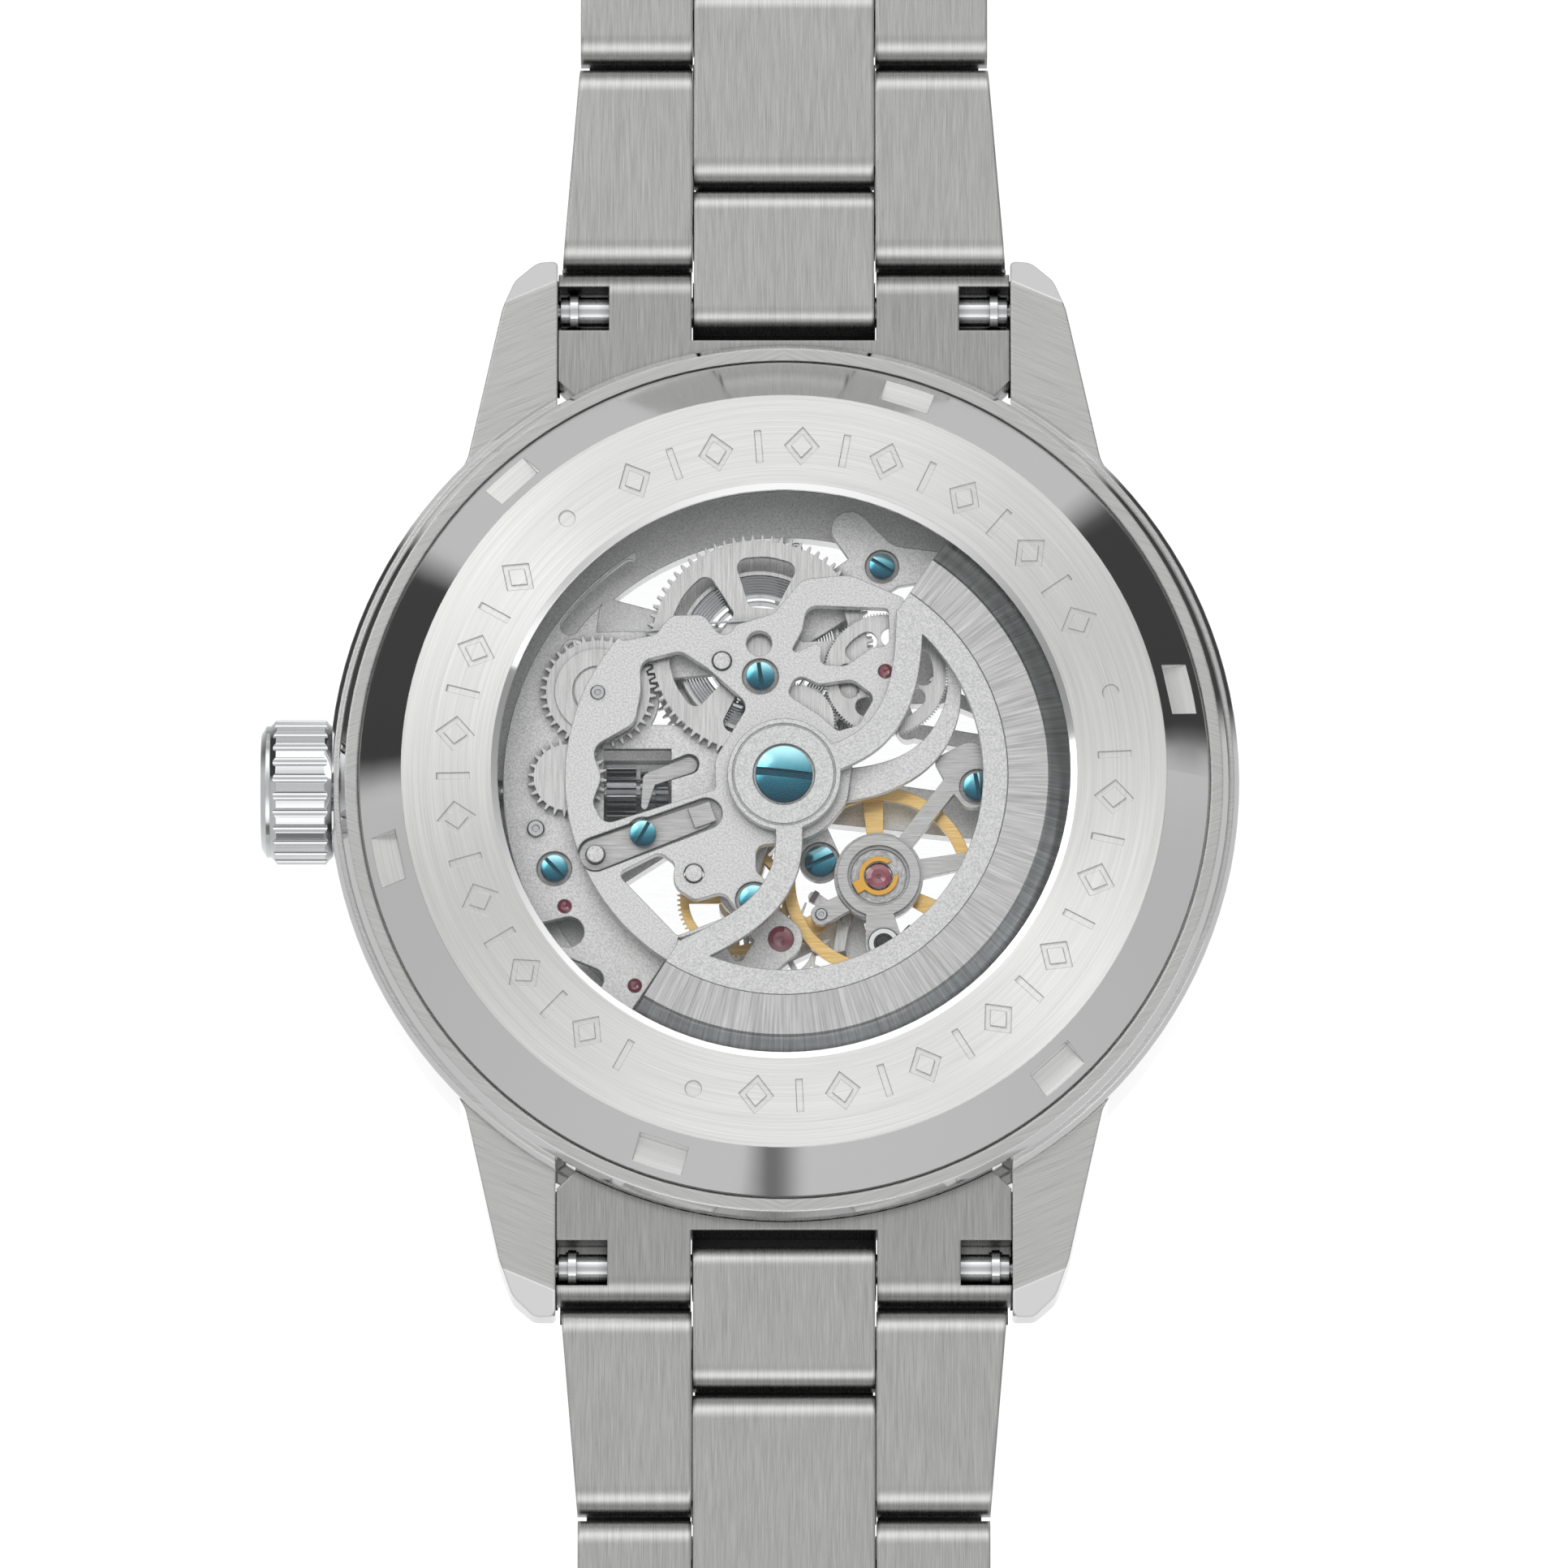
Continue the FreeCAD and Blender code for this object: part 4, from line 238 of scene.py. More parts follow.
def ramp(tree, value, stops):
    """A colour ramp; each stop is a position and a hex colour or a grey level."""
    node = add(tree, "ShaderNodeValToRGB", None, Fac=value)
    elements = node.color_ramp.elements
    while len(elements) < len(stops):
        elements.new(0.5)
    for element, (position, colour) in zip(elements, stops):
        element.position = position
        element.color = linear(colour) if isinstance(colour, str) else (colour, colour, colour, 1)
    return node.outputs["Color"]


def scaled(tree, value, low, high):
    """A value from 0 to 1 spread between low and high."""
    node = add(tree, "ShaderNodeMapRange", {"To Min": low, "To Max": high}, Value=value)
    return node.outputs[0]


def edge_normal(tree, radius_mm):
    """A normal that rounds the sharp edges of a machined part."""
    return add(tree, "ShaderNodeBevel", {"samples": 4, "Radius": radius_mm * MM}).outputs[0]


def painted_edge_reflection(tree, colour, normal, tone, soft=0.97):
    """The colour, turned to the tone where the rounded normal leaves the face's own one: a painted
    dark reflection along the rounded edges.
    """
    own = add(tree, "ShaderNodeNewGeometry").outputs["True Normal"]
    same = add(tree, "ShaderNodeVectorMath", {"operation": "DOT_PRODUCT"}, in0=own, in1=normal)
    flat = add(tree, "ShaderNodeMapRange", {"From Min": 0.8, "From Max": soft},
               Value=same.outputs["Value"]).outputs[0]
    return add(tree, "ShaderNodeMix", {"data_type": "RGBA", 6: linear(tone)}, in0=flat,
               in7=colour).outputs[2]


def painted_shade_colour(tree, colour, reach_mm, depth):
    """The colour, darkened by that depth where a neighbour stands within reach: painted shade in
    crevices and under neighbours.
    """
    open_sky = add(tree, "ShaderNodeAmbientOcclusion", {"samples": 3, "Distance": reach_mm * MM})
    share = scaled(tree, open_sky.outputs["AO"], 1.0 - depth, 1.0)
    return add(tree, "ShaderNodeVectorMath", {"operation": "SCALE"}, in0=colour,
               in3=share).outputs[0]


def relief(tree, height, depth_mm, normal=None):
    """A bump of that depth."""
    node = add(tree, "ShaderNodeBump", {"Strength": 1.0, "Distance": depth_mm * MM}, Height=height)
    if normal is not None:
        tree.links.new(normal, node.inputs["Normal"])
    return node.outputs[0]


# ---------------------------------------------------------------- finishes


def surface(material, tree, shader, colour, roughness, normal, metallic=1.0):
    """Joins colour, roughness and normal to the shader."""
    tree.links.new(colour, shader.inputs["Base Color"])
    tree.links.new(roughness, shader.inputs["Roughness"])
    tree.links.new(normal, shader.inputs["Normal"])
    shader.inputs["Metallic"].default_value = metallic
    return material


def brushed_steel(name, light, dark, lay, pitch, length, depth, rough, edge=0.06,
                  edge_reflection_tone=None, anisotropic=0.0, centre=(0.0, 0.0), side=None, crevice_shade=0.0):
    """Steel brushed in one direction: fine lines that catch the light across them.

    Lines are drawn a little coarser than the real 0.02 to 0.05 mm so that they show. Where a side
    colour is given, the faces that aren't level are polished to a mirror. An edge tone paints a dark
    reflection along the rounded edges, and painted shade darkens the colour where neighbours stand
    close.
    """
    material, tree, shader, mm = start(name)
    lines = streaks(tree, mm, lay, pitch, length, centre)
    broad = streaks(tree, mm, lay, pitch * 5, length * 3, centre)
    both = math_node(tree, "ADD", math_node(tree, "MULTIPLY", lines, 0.85),
                     math_node(tree, "MULTIPLY", broad, 0.15))
    colour = ramp(tree, both, [(0.3, dark), (0.68, light)])
    roughness = scaled(tree, lines, rough - 0.05, rough + 0.07)
    height = lines
    rounded = edge_normal(tree, edge)
    if side:
        facing = add(tree, "ShaderNodeSeparateXYZ", None,
                     in0=add(tree, "ShaderNodeTexCoord").outputs["Normal"]).outputs["Z"]
        flat = math_node(tree, "GREATER_THAN", math_node(tree, "ABSOLUTE", facing),
                         LEVEL_FACE)
        colour = add(tree, "ShaderNodeMix", {"data_type": "RGBA", 6: linear(side)}, in0=flat,
                     in7=colour).outputs[2]
        roughness = add(tree, "ShaderNodeMix", {2: 0.07}, in0=flat, in3=roughness).outputs[0]
        height = math_node(tree, "MULTIPLY", height, flat)
    # Painted dark reflection along the rounded edges.
    if edge_reflection_tone:
        colour = painted_edge_reflection(tree, colour, rounded, edge_reflection_tone)
    # Painted shade where neighbours stand close.
    if crevice_shade:
        colour = painted_shade_colour(tree, colour, crevice_shade, 0.75)
    if anisotropic:
        shader.inputs["Anisotropic"].default_value = anisotropic
        shader.inputs["Anisotropic Rotation"].default_value = 0.25
        tangent = add(tree, "ShaderNodeTangent", {"direction_type": "RADIAL", "axis": "Z"})
        tree.links.new(tangent.outputs[0], shader.inputs["Tangent"])
    return surface(material, tree, shader, colour, roughness, relief(tree, height, depth, rounded))


def polished_metal(name, hex_code, rough=0.06, edge=0.04, crevice_shade=0.0):
    """Buffed metal: a mirror with the faintest haze left by the buffing wheel."""
    material, tree, shader, mm = start(name)
    haze = add(tree, "ShaderNodeTexNoise", {"Scale": 0.6, "Detail": 3.0}, Vector=mm).outputs["Fac"]
    tree.links.new(scaled(tree, haze, rough * 0.7, rough * 1.4), shader.inputs["Roughness"])
    tree.links.new(edge_normal(tree, edge), shader.inputs["Normal"])
    shader.inputs["Base Color"].default_value = linear(hex_code)
    # Painted shade where neighbours stand close.
    if crevice_shade:
        tone = ramp(tree, haze, [(0.0, hex_code), (1.0, hex_code)])
        tree.links.new(painted_shade_colour(tree, tone, crevice_shade, 0.8), shader.inputs["Base Color"])
    shader.inputs["Metallic"].default_value = 1.0
    return material


def blasted_metal(name, light, dark, grain=0.09, depth=0.012, rough=0.42, edge=0.09,
                  crevice_shade=0.7):
    """Bead-blasted and rhodium-plated brass: an even sparkle of dimples, thin dark edges that are a
    painted dark reflection, and painted shade near neighbours.
    """
    material, tree, shader, mm = start(name)
    specks = add(tree, "ShaderNodeTexNoise", {"Scale": 1 / grain, "Detail": 3.0, "Roughness": 0.7},
                 Vector=mm).outputs["Fac"]
    colour = ramp(tree, specks, [(0.34, dark), (0.62, light)])
    rounded = edge_normal(tree, edge)
    # A painted dark reflection along the rounded edges.
    colour = painted_edge_reflection(tree, colour, rounded, "#3a3a3b")
    # Painted shade where neighbours stand close.
    if crevice_shade:
        colour = painted_shade_colour(tree, colour, 0.5, crevice_shade)
    roughness = scaled(tree, specks, rough - 0.06, rough + 0.06)
    return surface(material, tree, shader, colour, roughness, relief(tree, specks, depth, rounded))


def blued_steel(name):
    """Heat-blued polished steel under the domed heads: a deep teal oxide in slots and rims."""
    material, tree, shader, mm = start(name)
    tone = add(tree, "ShaderNodeTexNoise", {"Scale": 0.5, "Detail": 2.0}, Vector=mm).outputs["Fac"]
    colour = ramp(tree, tone, [(0.35, "#15414f"), (0.65, "#235a6b")])
    roughness = scaled(tree, tone, 0.14, 0.2)
    return surface(material, tree, shader, colour, roughness, edge_normal(tree, 0.04))


def blued_dome(name):
    """Heat-blued screw heads: pale cyan at the top of each dome to deep teal at its bottom, the
    oxide's own blue with painted light and painted shade over it.
    """
    material, tree, shader, mm = start(name)
    painted_dome_light = add(tree, "ShaderNodeAttribute", {"attribute_name": "painted_dome_light"}).outputs["Fac"]
    cloud = add(tree, "ShaderNodeTexNoise", {"Scale": 1.2, "Detail": 3.0}, Vector=mm).outputs["Fac"]
    blend = math_node(tree, "ADD", painted_dome_light, math_node(tree, "MULTIPLY", cloud, 0.12))
    colour = ramp(tree, blend, [(0.1, "#123f54"), (0.4, "#2d7488"), (0.66, "#5ba6b8"),
                                (1.0, "#a8dbe2")])
    roughness = scaled(tree, cloud, 0.12, 0.2)
    return surface(material, tree, shader, colour, roughness, edge_normal(tree, 0.03))


def shock_metal(name, level):
    """Turned steel up to a level in mm, and the gilt lyre spring that lies on it."""
    material, tree, shader, mm = start(name)
    height = add(tree, "ShaderNodeSeparateXYZ", None, in0=mm).outputs["Z"]
    gilt = math_node(tree, "GREATER_THAN", height, level)
    lines = streaks(tree, mm, "round", 0.07, 3.0, BALANCE)
    steel = ramp(tree, lines, [(0.3, "#a2a2a2"), (0.7, "#dededd")])
    colour = add(tree, "ShaderNodeMix", {"data_type": "RGBA", 7: linear("#e9b24e")}, in0=gilt,
                 in6=steel).outputs[2]
    rounded = edge_normal(tree, 0.04)
    # Painted dark reflection along the edges, then painted shade where neighbours stand close.
    colour = painted_shade_colour(tree, painted_edge_reflection(tree, colour, rounded, "#5a4a30"), 0.4, 0.7)
    return surface(material, tree, shader, colour, scaled(tree, lines, 0.2, 0.3),
                   relief(tree, lines, 0.003, rounded))


def jewel(name, hex_code):
    """Synthetic ruby: a polished stone, nearly opaque over its dark hole."""
    material, tree, shader, mm = start(name)
    cloud = add(tree, "ShaderNodeTexNoise", {"Scale": 1.4, "Detail": 2.0}, Vector=mm).outputs["Fac"]
    base = linear(hex_code)
    deep = tuple(c * 0.55 for c in base[:3]) + (1,)
    dark = add(tree, "ShaderNodeMix", {"data_type": "RGBA", 7: base, 6: deep}, in0=cloud).outputs[2]
    tree.links.new(dark, shader.inputs["Base Color"])
    shader.inputs["Roughness"].default_value = 0.05
    shader.inputs["IOR"].default_value = 1.77
    shader.inputs["Coat Weight"].default_value = 0.6
    shader.inputs["Coat Roughness"].default_value = 0.03
    return material


def clear_pane(name, tint):
    """Thin flat glass: light goes straight through, and only its polished faces reflect."""
    material, tree, shader, mm = start(name)
    gloss = add(tree, "ShaderNodeFresnel", {"IOR": 1.45}).outputs[0]
    tree.links.new(math_node(tree, "MULTIPLY", gloss, 0.6), shader.inputs["Alpha"])
    shader.inputs["Base Color"].default_value = linear(tint)
    shader.inputs["Metallic"].default_value = 1.0
    smear = add(tree, "ShaderNodeTexNoise", {"Scale": 0.25, "Detail": 2.0}, Vector=mm).outputs["Fac"]
    tree.links.new(scaled(tree, smear, 0.01, 0.05), shader.inputs["Roughness"])
    return material


def matt_black(name, hex_code, rough=0.55):
    """Satin black lacquer or rubber with a fine texture."""
    material, tree, shader, mm = start(name)
    specks = add(tree, "ShaderNodeTexNoise", {"Scale": 9.0, "Detail": 3.0}, Vector=mm).outputs["Fac"]
    tree.links.new(scaled(tree, specks, rough - 0.1, rough + 0.1), shader.inputs["Roughness"])
    tree.links.new(relief(tree, specks, 0.004, edge_normal(tree, 0.04)), shader.inputs["Normal"])
    shader.inputs["Base Color"].default_value = linear(hex_code)
    return material


def finish_node(node, material):
    """Gives a carried-over part its finish through its material slots."""
    mesh = NODES[node].data
    if not mesh.materials:
        mesh.materials.append(material)
    for index in range(len(mesh.materials)):
        mesh.materials[index] = material


# ---------------------------------------------------------------- shapes


def shell(name, top, bottom, material, body, painted_dome_light=None):
    """A closed piece from two grids of the same shape in mm, joined round their border.

    Both grids are rows by columns by three; collapsed corners are merged.
    """
    rows, columns = top.shape[:2]
    count = rows * columns
    index = np.arange(count).reshape(rows, columns)
    upper = np.stack([index[:-1, :-1], index[1:, :-1], index[1:, 1:], index[:-1, 1:]], -1)
    upper = upper.reshape(-1, 4)
    first = top[1, 0] - top[0, 0]
    second = top[rows // 2, -1] - top[rows // 2, 0]
    border = np.concatenate([index[0, :], index[1:, -1], index[-1, -2::-1], index[-2:0:-1, 0]])
    if np.dot(np.cross(first, second), top.mean((0, 1)) - bottom.mean((0, 1))) < 0:
        upper = upper[:, ::-1]
    else:
        border = border[::-1]
    lower = upper[:, ::-1] + count
    after = np.roll(border, -1)
    side = np.stack([after, border, border + count, after + count], -1)
    points = np.concatenate([top.reshape(-1, 3), bottom.reshape(-1, 3)]) * MM
    mesh = bpy.data.meshes.new(name)
    mesh.from_pydata(points.tolist(), [], np.concatenate([upper, lower, side]).tolist())
    # The painted light of a dome is kept on its points.
    if painted_dome_light is not None:
        layer = mesh.attributes.new("painted_dome_light", "FLOAT", "POINT")
        layer.data.foreach_set("value", np.tile(painted_dome_light.reshape(-1), 2).astype(np.float32))
    placed(name, mesh, material, body)


def placed(name, mesh, material, body):
    """Merges doubled corners, sets the finish and fastens the piece to its body."""
    work = bmesh.new()
    work.from_mesh(mesh)
    bmesh.ops.remove_doubles(work, verts=work.verts, dist=1e-7)
    bmesh.ops.dissolve_degenerate(work, edges=work.edges, dist=1e-8)
    bmesh.ops.recalc_face_normals(work, faces=work.faces)
    work.to_mesh(mesh)
    work.free()
    mesh.materials.append(material)
    thing = bpy.data.objects.new(name, mesh)
    bpy.context.scene.collection.objects.link(thing)
    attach(thing, body)


def smooth_path(points, rounds=3):
    """Cuts the corners of a path again and again, keeping its two ends."""
    path = np.array(points, float)
    for _ in range(rounds):
        near = path[:-1] * 0.75 + path[1:] * 0.25
        far = path[:-1] * 0.25 + path[1:] * 0.75
        cut = np.stack([near, far], 1).reshape(-1, path.shape[1])
        path = np.concatenate([path[:1], cut, path[-1:]])
    return path


def strip(name, points, width, z0, z1, material, body, rounds=3):
    """A band along a path, higher in its middle by a hundredth of its width or 0.02 mm at most."""
    path = smooth_path(points, rounds)
    along = np.gradient(path, axis=0)
    along /= np.linalg.norm(along, axis=1)[:, None]
    normal = np.stack([-along[:, 1], along[:, 0]], 1)
    share = np.array([-0.5, -0.25, 0.0, 0.25, 0.5])
    flat = path[None, :, :] + normal[None, :, :] * (share * width)[:, None, None]
    crown = z1 - (share * 2) ** 2 * min(0.01 * width, 0.02)
    heights = np.repeat(crown[:, None], len(path), 1)
    top = np.concatenate([flat, heights[..., None]], 2)
    bottom = np.concatenate([flat, np.full(heights.shape + (1,), z0)], 2)
    shell(name, top, bottom, material, body)


def lathe(name, profile, x, y, material, body, steps=48):
    """A turned piece: the profile of radius and height in mm, revolved round the axis at x, y."""
    rings = np.array(profile, float)
    angle = np.linspace(0, math.tau, steps, endpoint=False)
    px = x + rings[:, :1] * np.cos(angle)
    py = y + rings[:, :1] * np.sin(angle)
    pz = np.repeat(rings[:, 1:], steps, 1)
    index = np.arange(len(rings) * steps).reshape(len(rings), steps)
    after = np.roll(index, -1, 1)
    faces = np.stack([index[:-1], after[:-1], after[1:], index[1:]], -1).reshape(-1, 4)
    mesh = bpy.data.meshes.new(name)
    mesh.from_pydata((np.stack([px, py, pz], -1).reshape(-1, 3) * MM).tolist(), [], faces.tolist())
    placed(name, mesh, material, body)


def dome_head(name, x, y, radius, level, angle, material, body):
    """Two halves of a domed screw head on both sides of its slot.

    Height falls with the square of the distance from the axis, to nothing at the rim.
    """
    slot = radius * 0.14
    rise = radius * 0.13
    rim = radius * 0.985
    turn = math.radians(angle)
    for side in (1, -1):
        away = slot + (rim - slot) * np.sin(np.linspace(0, math.pi / 2, 15))
        half = np.sqrt(np.maximum(rim ** 2 - away ** 2, 0))
        along = np.linspace(-1, 1, 25)[None, :] * half[:, None]
        out = np.repeat(away[:, None] * side, 25, 1)
        height = level + 0.02 + rise * (1 - (along ** 2 + out ** 2) / radius ** 2)
        px = x + along * math.cos(turn) - out * math.sin(turn)
        py = y + along * math.sin(turn) + out * math.cos(turn)
        # Painted light: 0 at the bottom of the head and 1 at its top, so the top is drawn lighter.
        painted_dome_light = 0.5 + 0.5 * (py - y) / radius
        top = np.stack([px, py, height], -1)
        bottom = np.stack([px, py, np.full(px.shape, level - 0.01)], -1)
        shell("%s_%s" % (name, "near" if side > 0 else "far"), top, bottom, material, body, painted_dome_light)


# ---------------------------------------------------------------- settings


class WatchSettings(PropertyGroup):
    """Sizes and light levels that a user may want to change."""
    table_light: FloatProperty(name="Table light", description="Brightness of the light table",
                               default=1.05, min=0.0)
    sky_light: FloatProperty(name="Studio light", description="Brightness of the studio tent",
                             default=1.0, min=0.0)
    view_width: FloatProperty(name="View width", description="Width that the camera sees",
                              default=0.0758, unit="LENGTH")
    view_height: FloatProperty(name="View angle", description="Camera height above the table",
                               default=math.radians(79), subtype="ANGLE")
    shade_lining_depth: FloatProperty(name="Shade lining depth", description="Thickness of the painted-shade joint linings",
                                default=0.0001, min=0.00002, max=0.0004, unit="LENGTH")


# ---------------------------------------------------------------- operators


class WATCH_OT_case(Operator):
    """Brushes and polishes the case, the case back and the crown"""
    bl_idname = "watch.case"
    bl_label = "Case finishes"

    def execute(self, context):
        middle = brushed_steel("Case steel, brushed flats", "#c6c6c5", "#b0b0af", "mirrored",
                               0.05, 3.0, 0.002, 0.28, side="#dedede", edge=0.15)
        # The case back and the bracelet are one steel given two tones: the lighter case back is
        # painted light, and its edge tone paints a dark reflection along its edges.
        back = brushed_steel("Case back steel, circular brushing", "#e4e4e3", "#cfcfce", "round",
                             0.07, 6.0, 0.003, 0.38, anisotropic=0.85, side="#dadada",
                             edge_reflection_tone="#8d8d8d")
        # The crown's steel gets painted shade where its neighbours stand close.
        knurl = polished_metal("Crown steel, polished", "#cfd1d2", 0.08, crevice_shade=0.5)
        finish_node("mid_case", middle)
        finish_node("case_back", back)
        finish_node("bezel", polished_metal("Bezel steel, polished", "#dfe1e2", 0.07))
        finish_node("crown", knurl)
        finish_node("crown_tube", knurl)
        finish_node("crystal", clear_pane("Front sapphire glass", "#f4fbff"))
        finish_node("back_glass", clear_pane("Back mineral glass", "#f4fbff"))
        finish_node("gaskets", matt_black("Gasket rubber", "#1b1b1c"))
        finish_node("chapter_ring", matt_black("Black anodised ring", "#17181a", 0.4))
        finish_node("dial_ring", matt_black("Black dial lacquer", "#121316", 0.35))
        return {"FINISHED"}


class WATCH_OT_bracelet(Operator):
    """Brushes the links, the end links and the clasp"""
    bl_idname = "watch.bracelet"
    bl_label = "Bracelet finishes"

    def execute(self, context):
        # The links' steel is darker than the case back's, though both are one steel: painted shade.
        brushed = brushed_steel("Bracelet steel, long brushing", "#bdbdbc", "#a0a09f", "along_y",
                                0.045, 2.0, 0.002, 0.27, edge=0.25)
        # The end links and spring bars get painted shade where neighbours stand close.
        ends = brushed_steel("End link steel, long brushing", "#b0b0af", "#949493", "along_y",
                             0.045, 2.0, 0.002, 0.27, edge=0.15, crevice_shade=0.4)
        bar = polished_metal("Spring bar steel, turned", "#c9cacb", 0.15, crevice_shade=0.6)
        for node in NODES:
            if node.startswith(("link_", "half_link", "clasp")):
                finish_node(node, brushed)
        finish_node("end_links", ends)
        finish_node("spring_bars", bar)
        return {"FINISHED"}


class WATCH_OT_shade_linings(Operator):
    """Lines the narrow joints of the bracelet with thin dark strips: painted shade in the joints"""
    bl_idname = "watch.linings"
    bl_label = "Painted shade linings"

    def execute(self, context):
        # The strips are painted shade: dark where the real joints lie deep in shadow.
        dark = matt_black("Painted shade, joint linings", "#2c2c2d", 0.5)
        z0 = LINK_FRONT + 0.02
        z1 = z0 + context.scene.watch.shade_lining_depth / MM
        for side, row in ((1, "12"), (-1, "6")):
            for index in range(5):
                pivot = FIRST_PIVOT + index * LINK_PITCH
                half = STRAP_WIDTH / 2 - OUTER_INSET
                body = "link_%s_%d" % (row, index + 1)
                tag = "lining_%s_%d" % (row, index + 1)
                level = side * (pivot + MIDDLE_OFFSET)
                strip(tag + "_middle", [(-MIDDLE_HALF, level), (MIDDLE_HALF, level)], JOINT_WIDTH,
                      z0, z1, dark, body)
                level = side * (pivot + OUTER_OFFSET)
                for hand, left in ((1, "a"), (-1, "b")):
                    ends = [(hand * OUTER_START, level), (hand * half, level)]
                    if index:
                        strip(tag + "_outer_" + left, ends, JOINT_WIDTH, z0, z1, dark, body)
                    run = [(hand * ROW_GAP, side * (pivot + reach)) for reach in BLADE_RUN]
                    strip(tag + "_row_" + left, run, BLADE_WIDTH, z0, BLADE_TOP, dark, body)
            level = side * POCKET_Y
            strip("lining_%s_pocket" % row, [(-POCKET_HALF, level), (POCKET_HALF, level)],
                  END_WIDTH, z0, z1, dark, "case")
            for hand, left in ((1, "a"), (-1, "b")):
                ends = [(hand * reach, side * END_Y) for reach in END_SPAN]
                strip("lining_%s_end_%s" % (row, left), ends, END_WIDTH, z0, z1, dark, "case")
                run = [(hand * LUG_X, side * reach) for reach in LUG_RUN]
                strip("lining_%s_lug_%s" % (row, left), run, LUG_LINING, z0 + LUG_LIFT,
                      z1 + LUG_LIFT, dark, "case")
                run = [(hand * ROW_GAP, side * reach) for reach in SIDE_RUN]
                strip("lining_%s_side_%s" % (row, left), run, BLADE_WIDTH, z0, BLADE_TOP, dark,
                      "case")
        return {"FINISHED"}


class WATCH_OT_movement(Operator):
    """Finishes the plates, bridges, wheels, screws and jewels"""
    bl_idname = "watch.movement"
    bl_label = "Movement finishes"

    def execute(self, context):
        # Most of these finishes get painted shade near their neighbours and a painted dark reflection
        # along their edges.
        bridge = blasted_metal("Blasted bridge metal", "#e6e6e5", "#bcbcbb")
        plate = blasted_metal("Blasted plate metal", "#ececeb", "#cacac9", rough=0.3,
                              crevice_shade=0.2)
        swing = blasted_metal("Blasted rotor metal", "#e4e4e3", "#bababa", crevice_shade=0.0)
        wheel = brushed_steel("Wheel steel, fine brushing", "#e4e4e3", "#bdbdbc", "along_y",
                              0.07, 2.0, 0.003, 0.26, edge=0.04, edge_reflection_tone="#4a4a4b", crevice_shade=0.4)
        cock = brushed_steel("Cock and lever steel, fine brushing", "#d4d4d3", "#a9a9a8", "along_x",
                             0.06, 1.5, 0.003, 0.28, edge=0.05, edge_reflection_tone="#444445", crevice_shade=0.5)
        dark = polished_metal("Spring steel, polished", "#8d8f91", 0.14, 0.01)
        keyless = polished_metal("Keyless steel, polished", "#9fa1a3", 0.1, 0.03, crevice_shade=0.5)
        gilt = brushed_steel("Gilt brass, fine brushing", "#f8dca0", "#e3b25c", "along_x",
                             0.06, 1.5, 0.003, 0.22, edge=0.05, edge_reflection_tone="#8a5d22", crevice_shade=0.5)
        blue = blued_steel("Blued steel, flats")
        weight = brushed_steel("Rotor tungsten, radial brushing", "#dcdcdb", "#a6a6a5", "radial",
                               0.11, 3.0, 0.01, 0.3, edge=0.05, edge_reflection_tone="#3c3c3d")
        finish_node("main_plate", plate)
        for node in ("barrel_bridge", "train_bridge", "automatic_bridge"):
            finish_node(node, bridge)
        finish_node("rotor_plate", swing)
        for node in ("ratchet_wheel", "idler_wheel", "crown_wheel", "auto_wheel", "reverser_wheel",
                     "escape_wheel", "barrel_drum", "pallet_fork", "hour_hand", "minute_hand",
                     "second_hand"):
            finish_node(node, wheel)
        for node in ("balance_cock", "regulator", "setting_lever", "click_spring"):
            finish_node(node, cock)
        finish_node("winding_pinions", keyless)
        finish_node("mainspring", dark)
        finish_node("hairspring", dark)
        for node in ("centre_wheel", "third_wheel", "fourth_wheel", "balance_wheel", "minute_wheel"):
            finish_node(node, gilt)
        finish_node("shock_setting", shock_metal("Shock setting steel and gilt spring",
                                                 SPRING_LEVEL))
        finish_node("rotor_weight", weight)
        finish_node("rotor_screw", blue)
        finish_node("bridge_screws", blue)
        finish_node("jewels", jewel("Ruby", "#a02c48"))
        return {"FINISHED"}


class WATCH_OT_screws(Operator):
    """Domes the blued screw heads on both sides of their slots"""
    bl_idname = "watch.screws"
    bl_label = "Blued screw heads"

    def execute(self, context):
        dome = blued_dome("Blued steel, domed heads")
        for index, (x, y, radius, level, angle) in enumerate(BRIDGE_SCREWS):
            dome_head("head_%d" % (index + 1), x, y, radius, level, angle, dome, "case")
        dome_head("head_rotor", 0.0, 0.0, *ROTOR_SCREW, dome, "rotor")
        return {"FINISHED"}


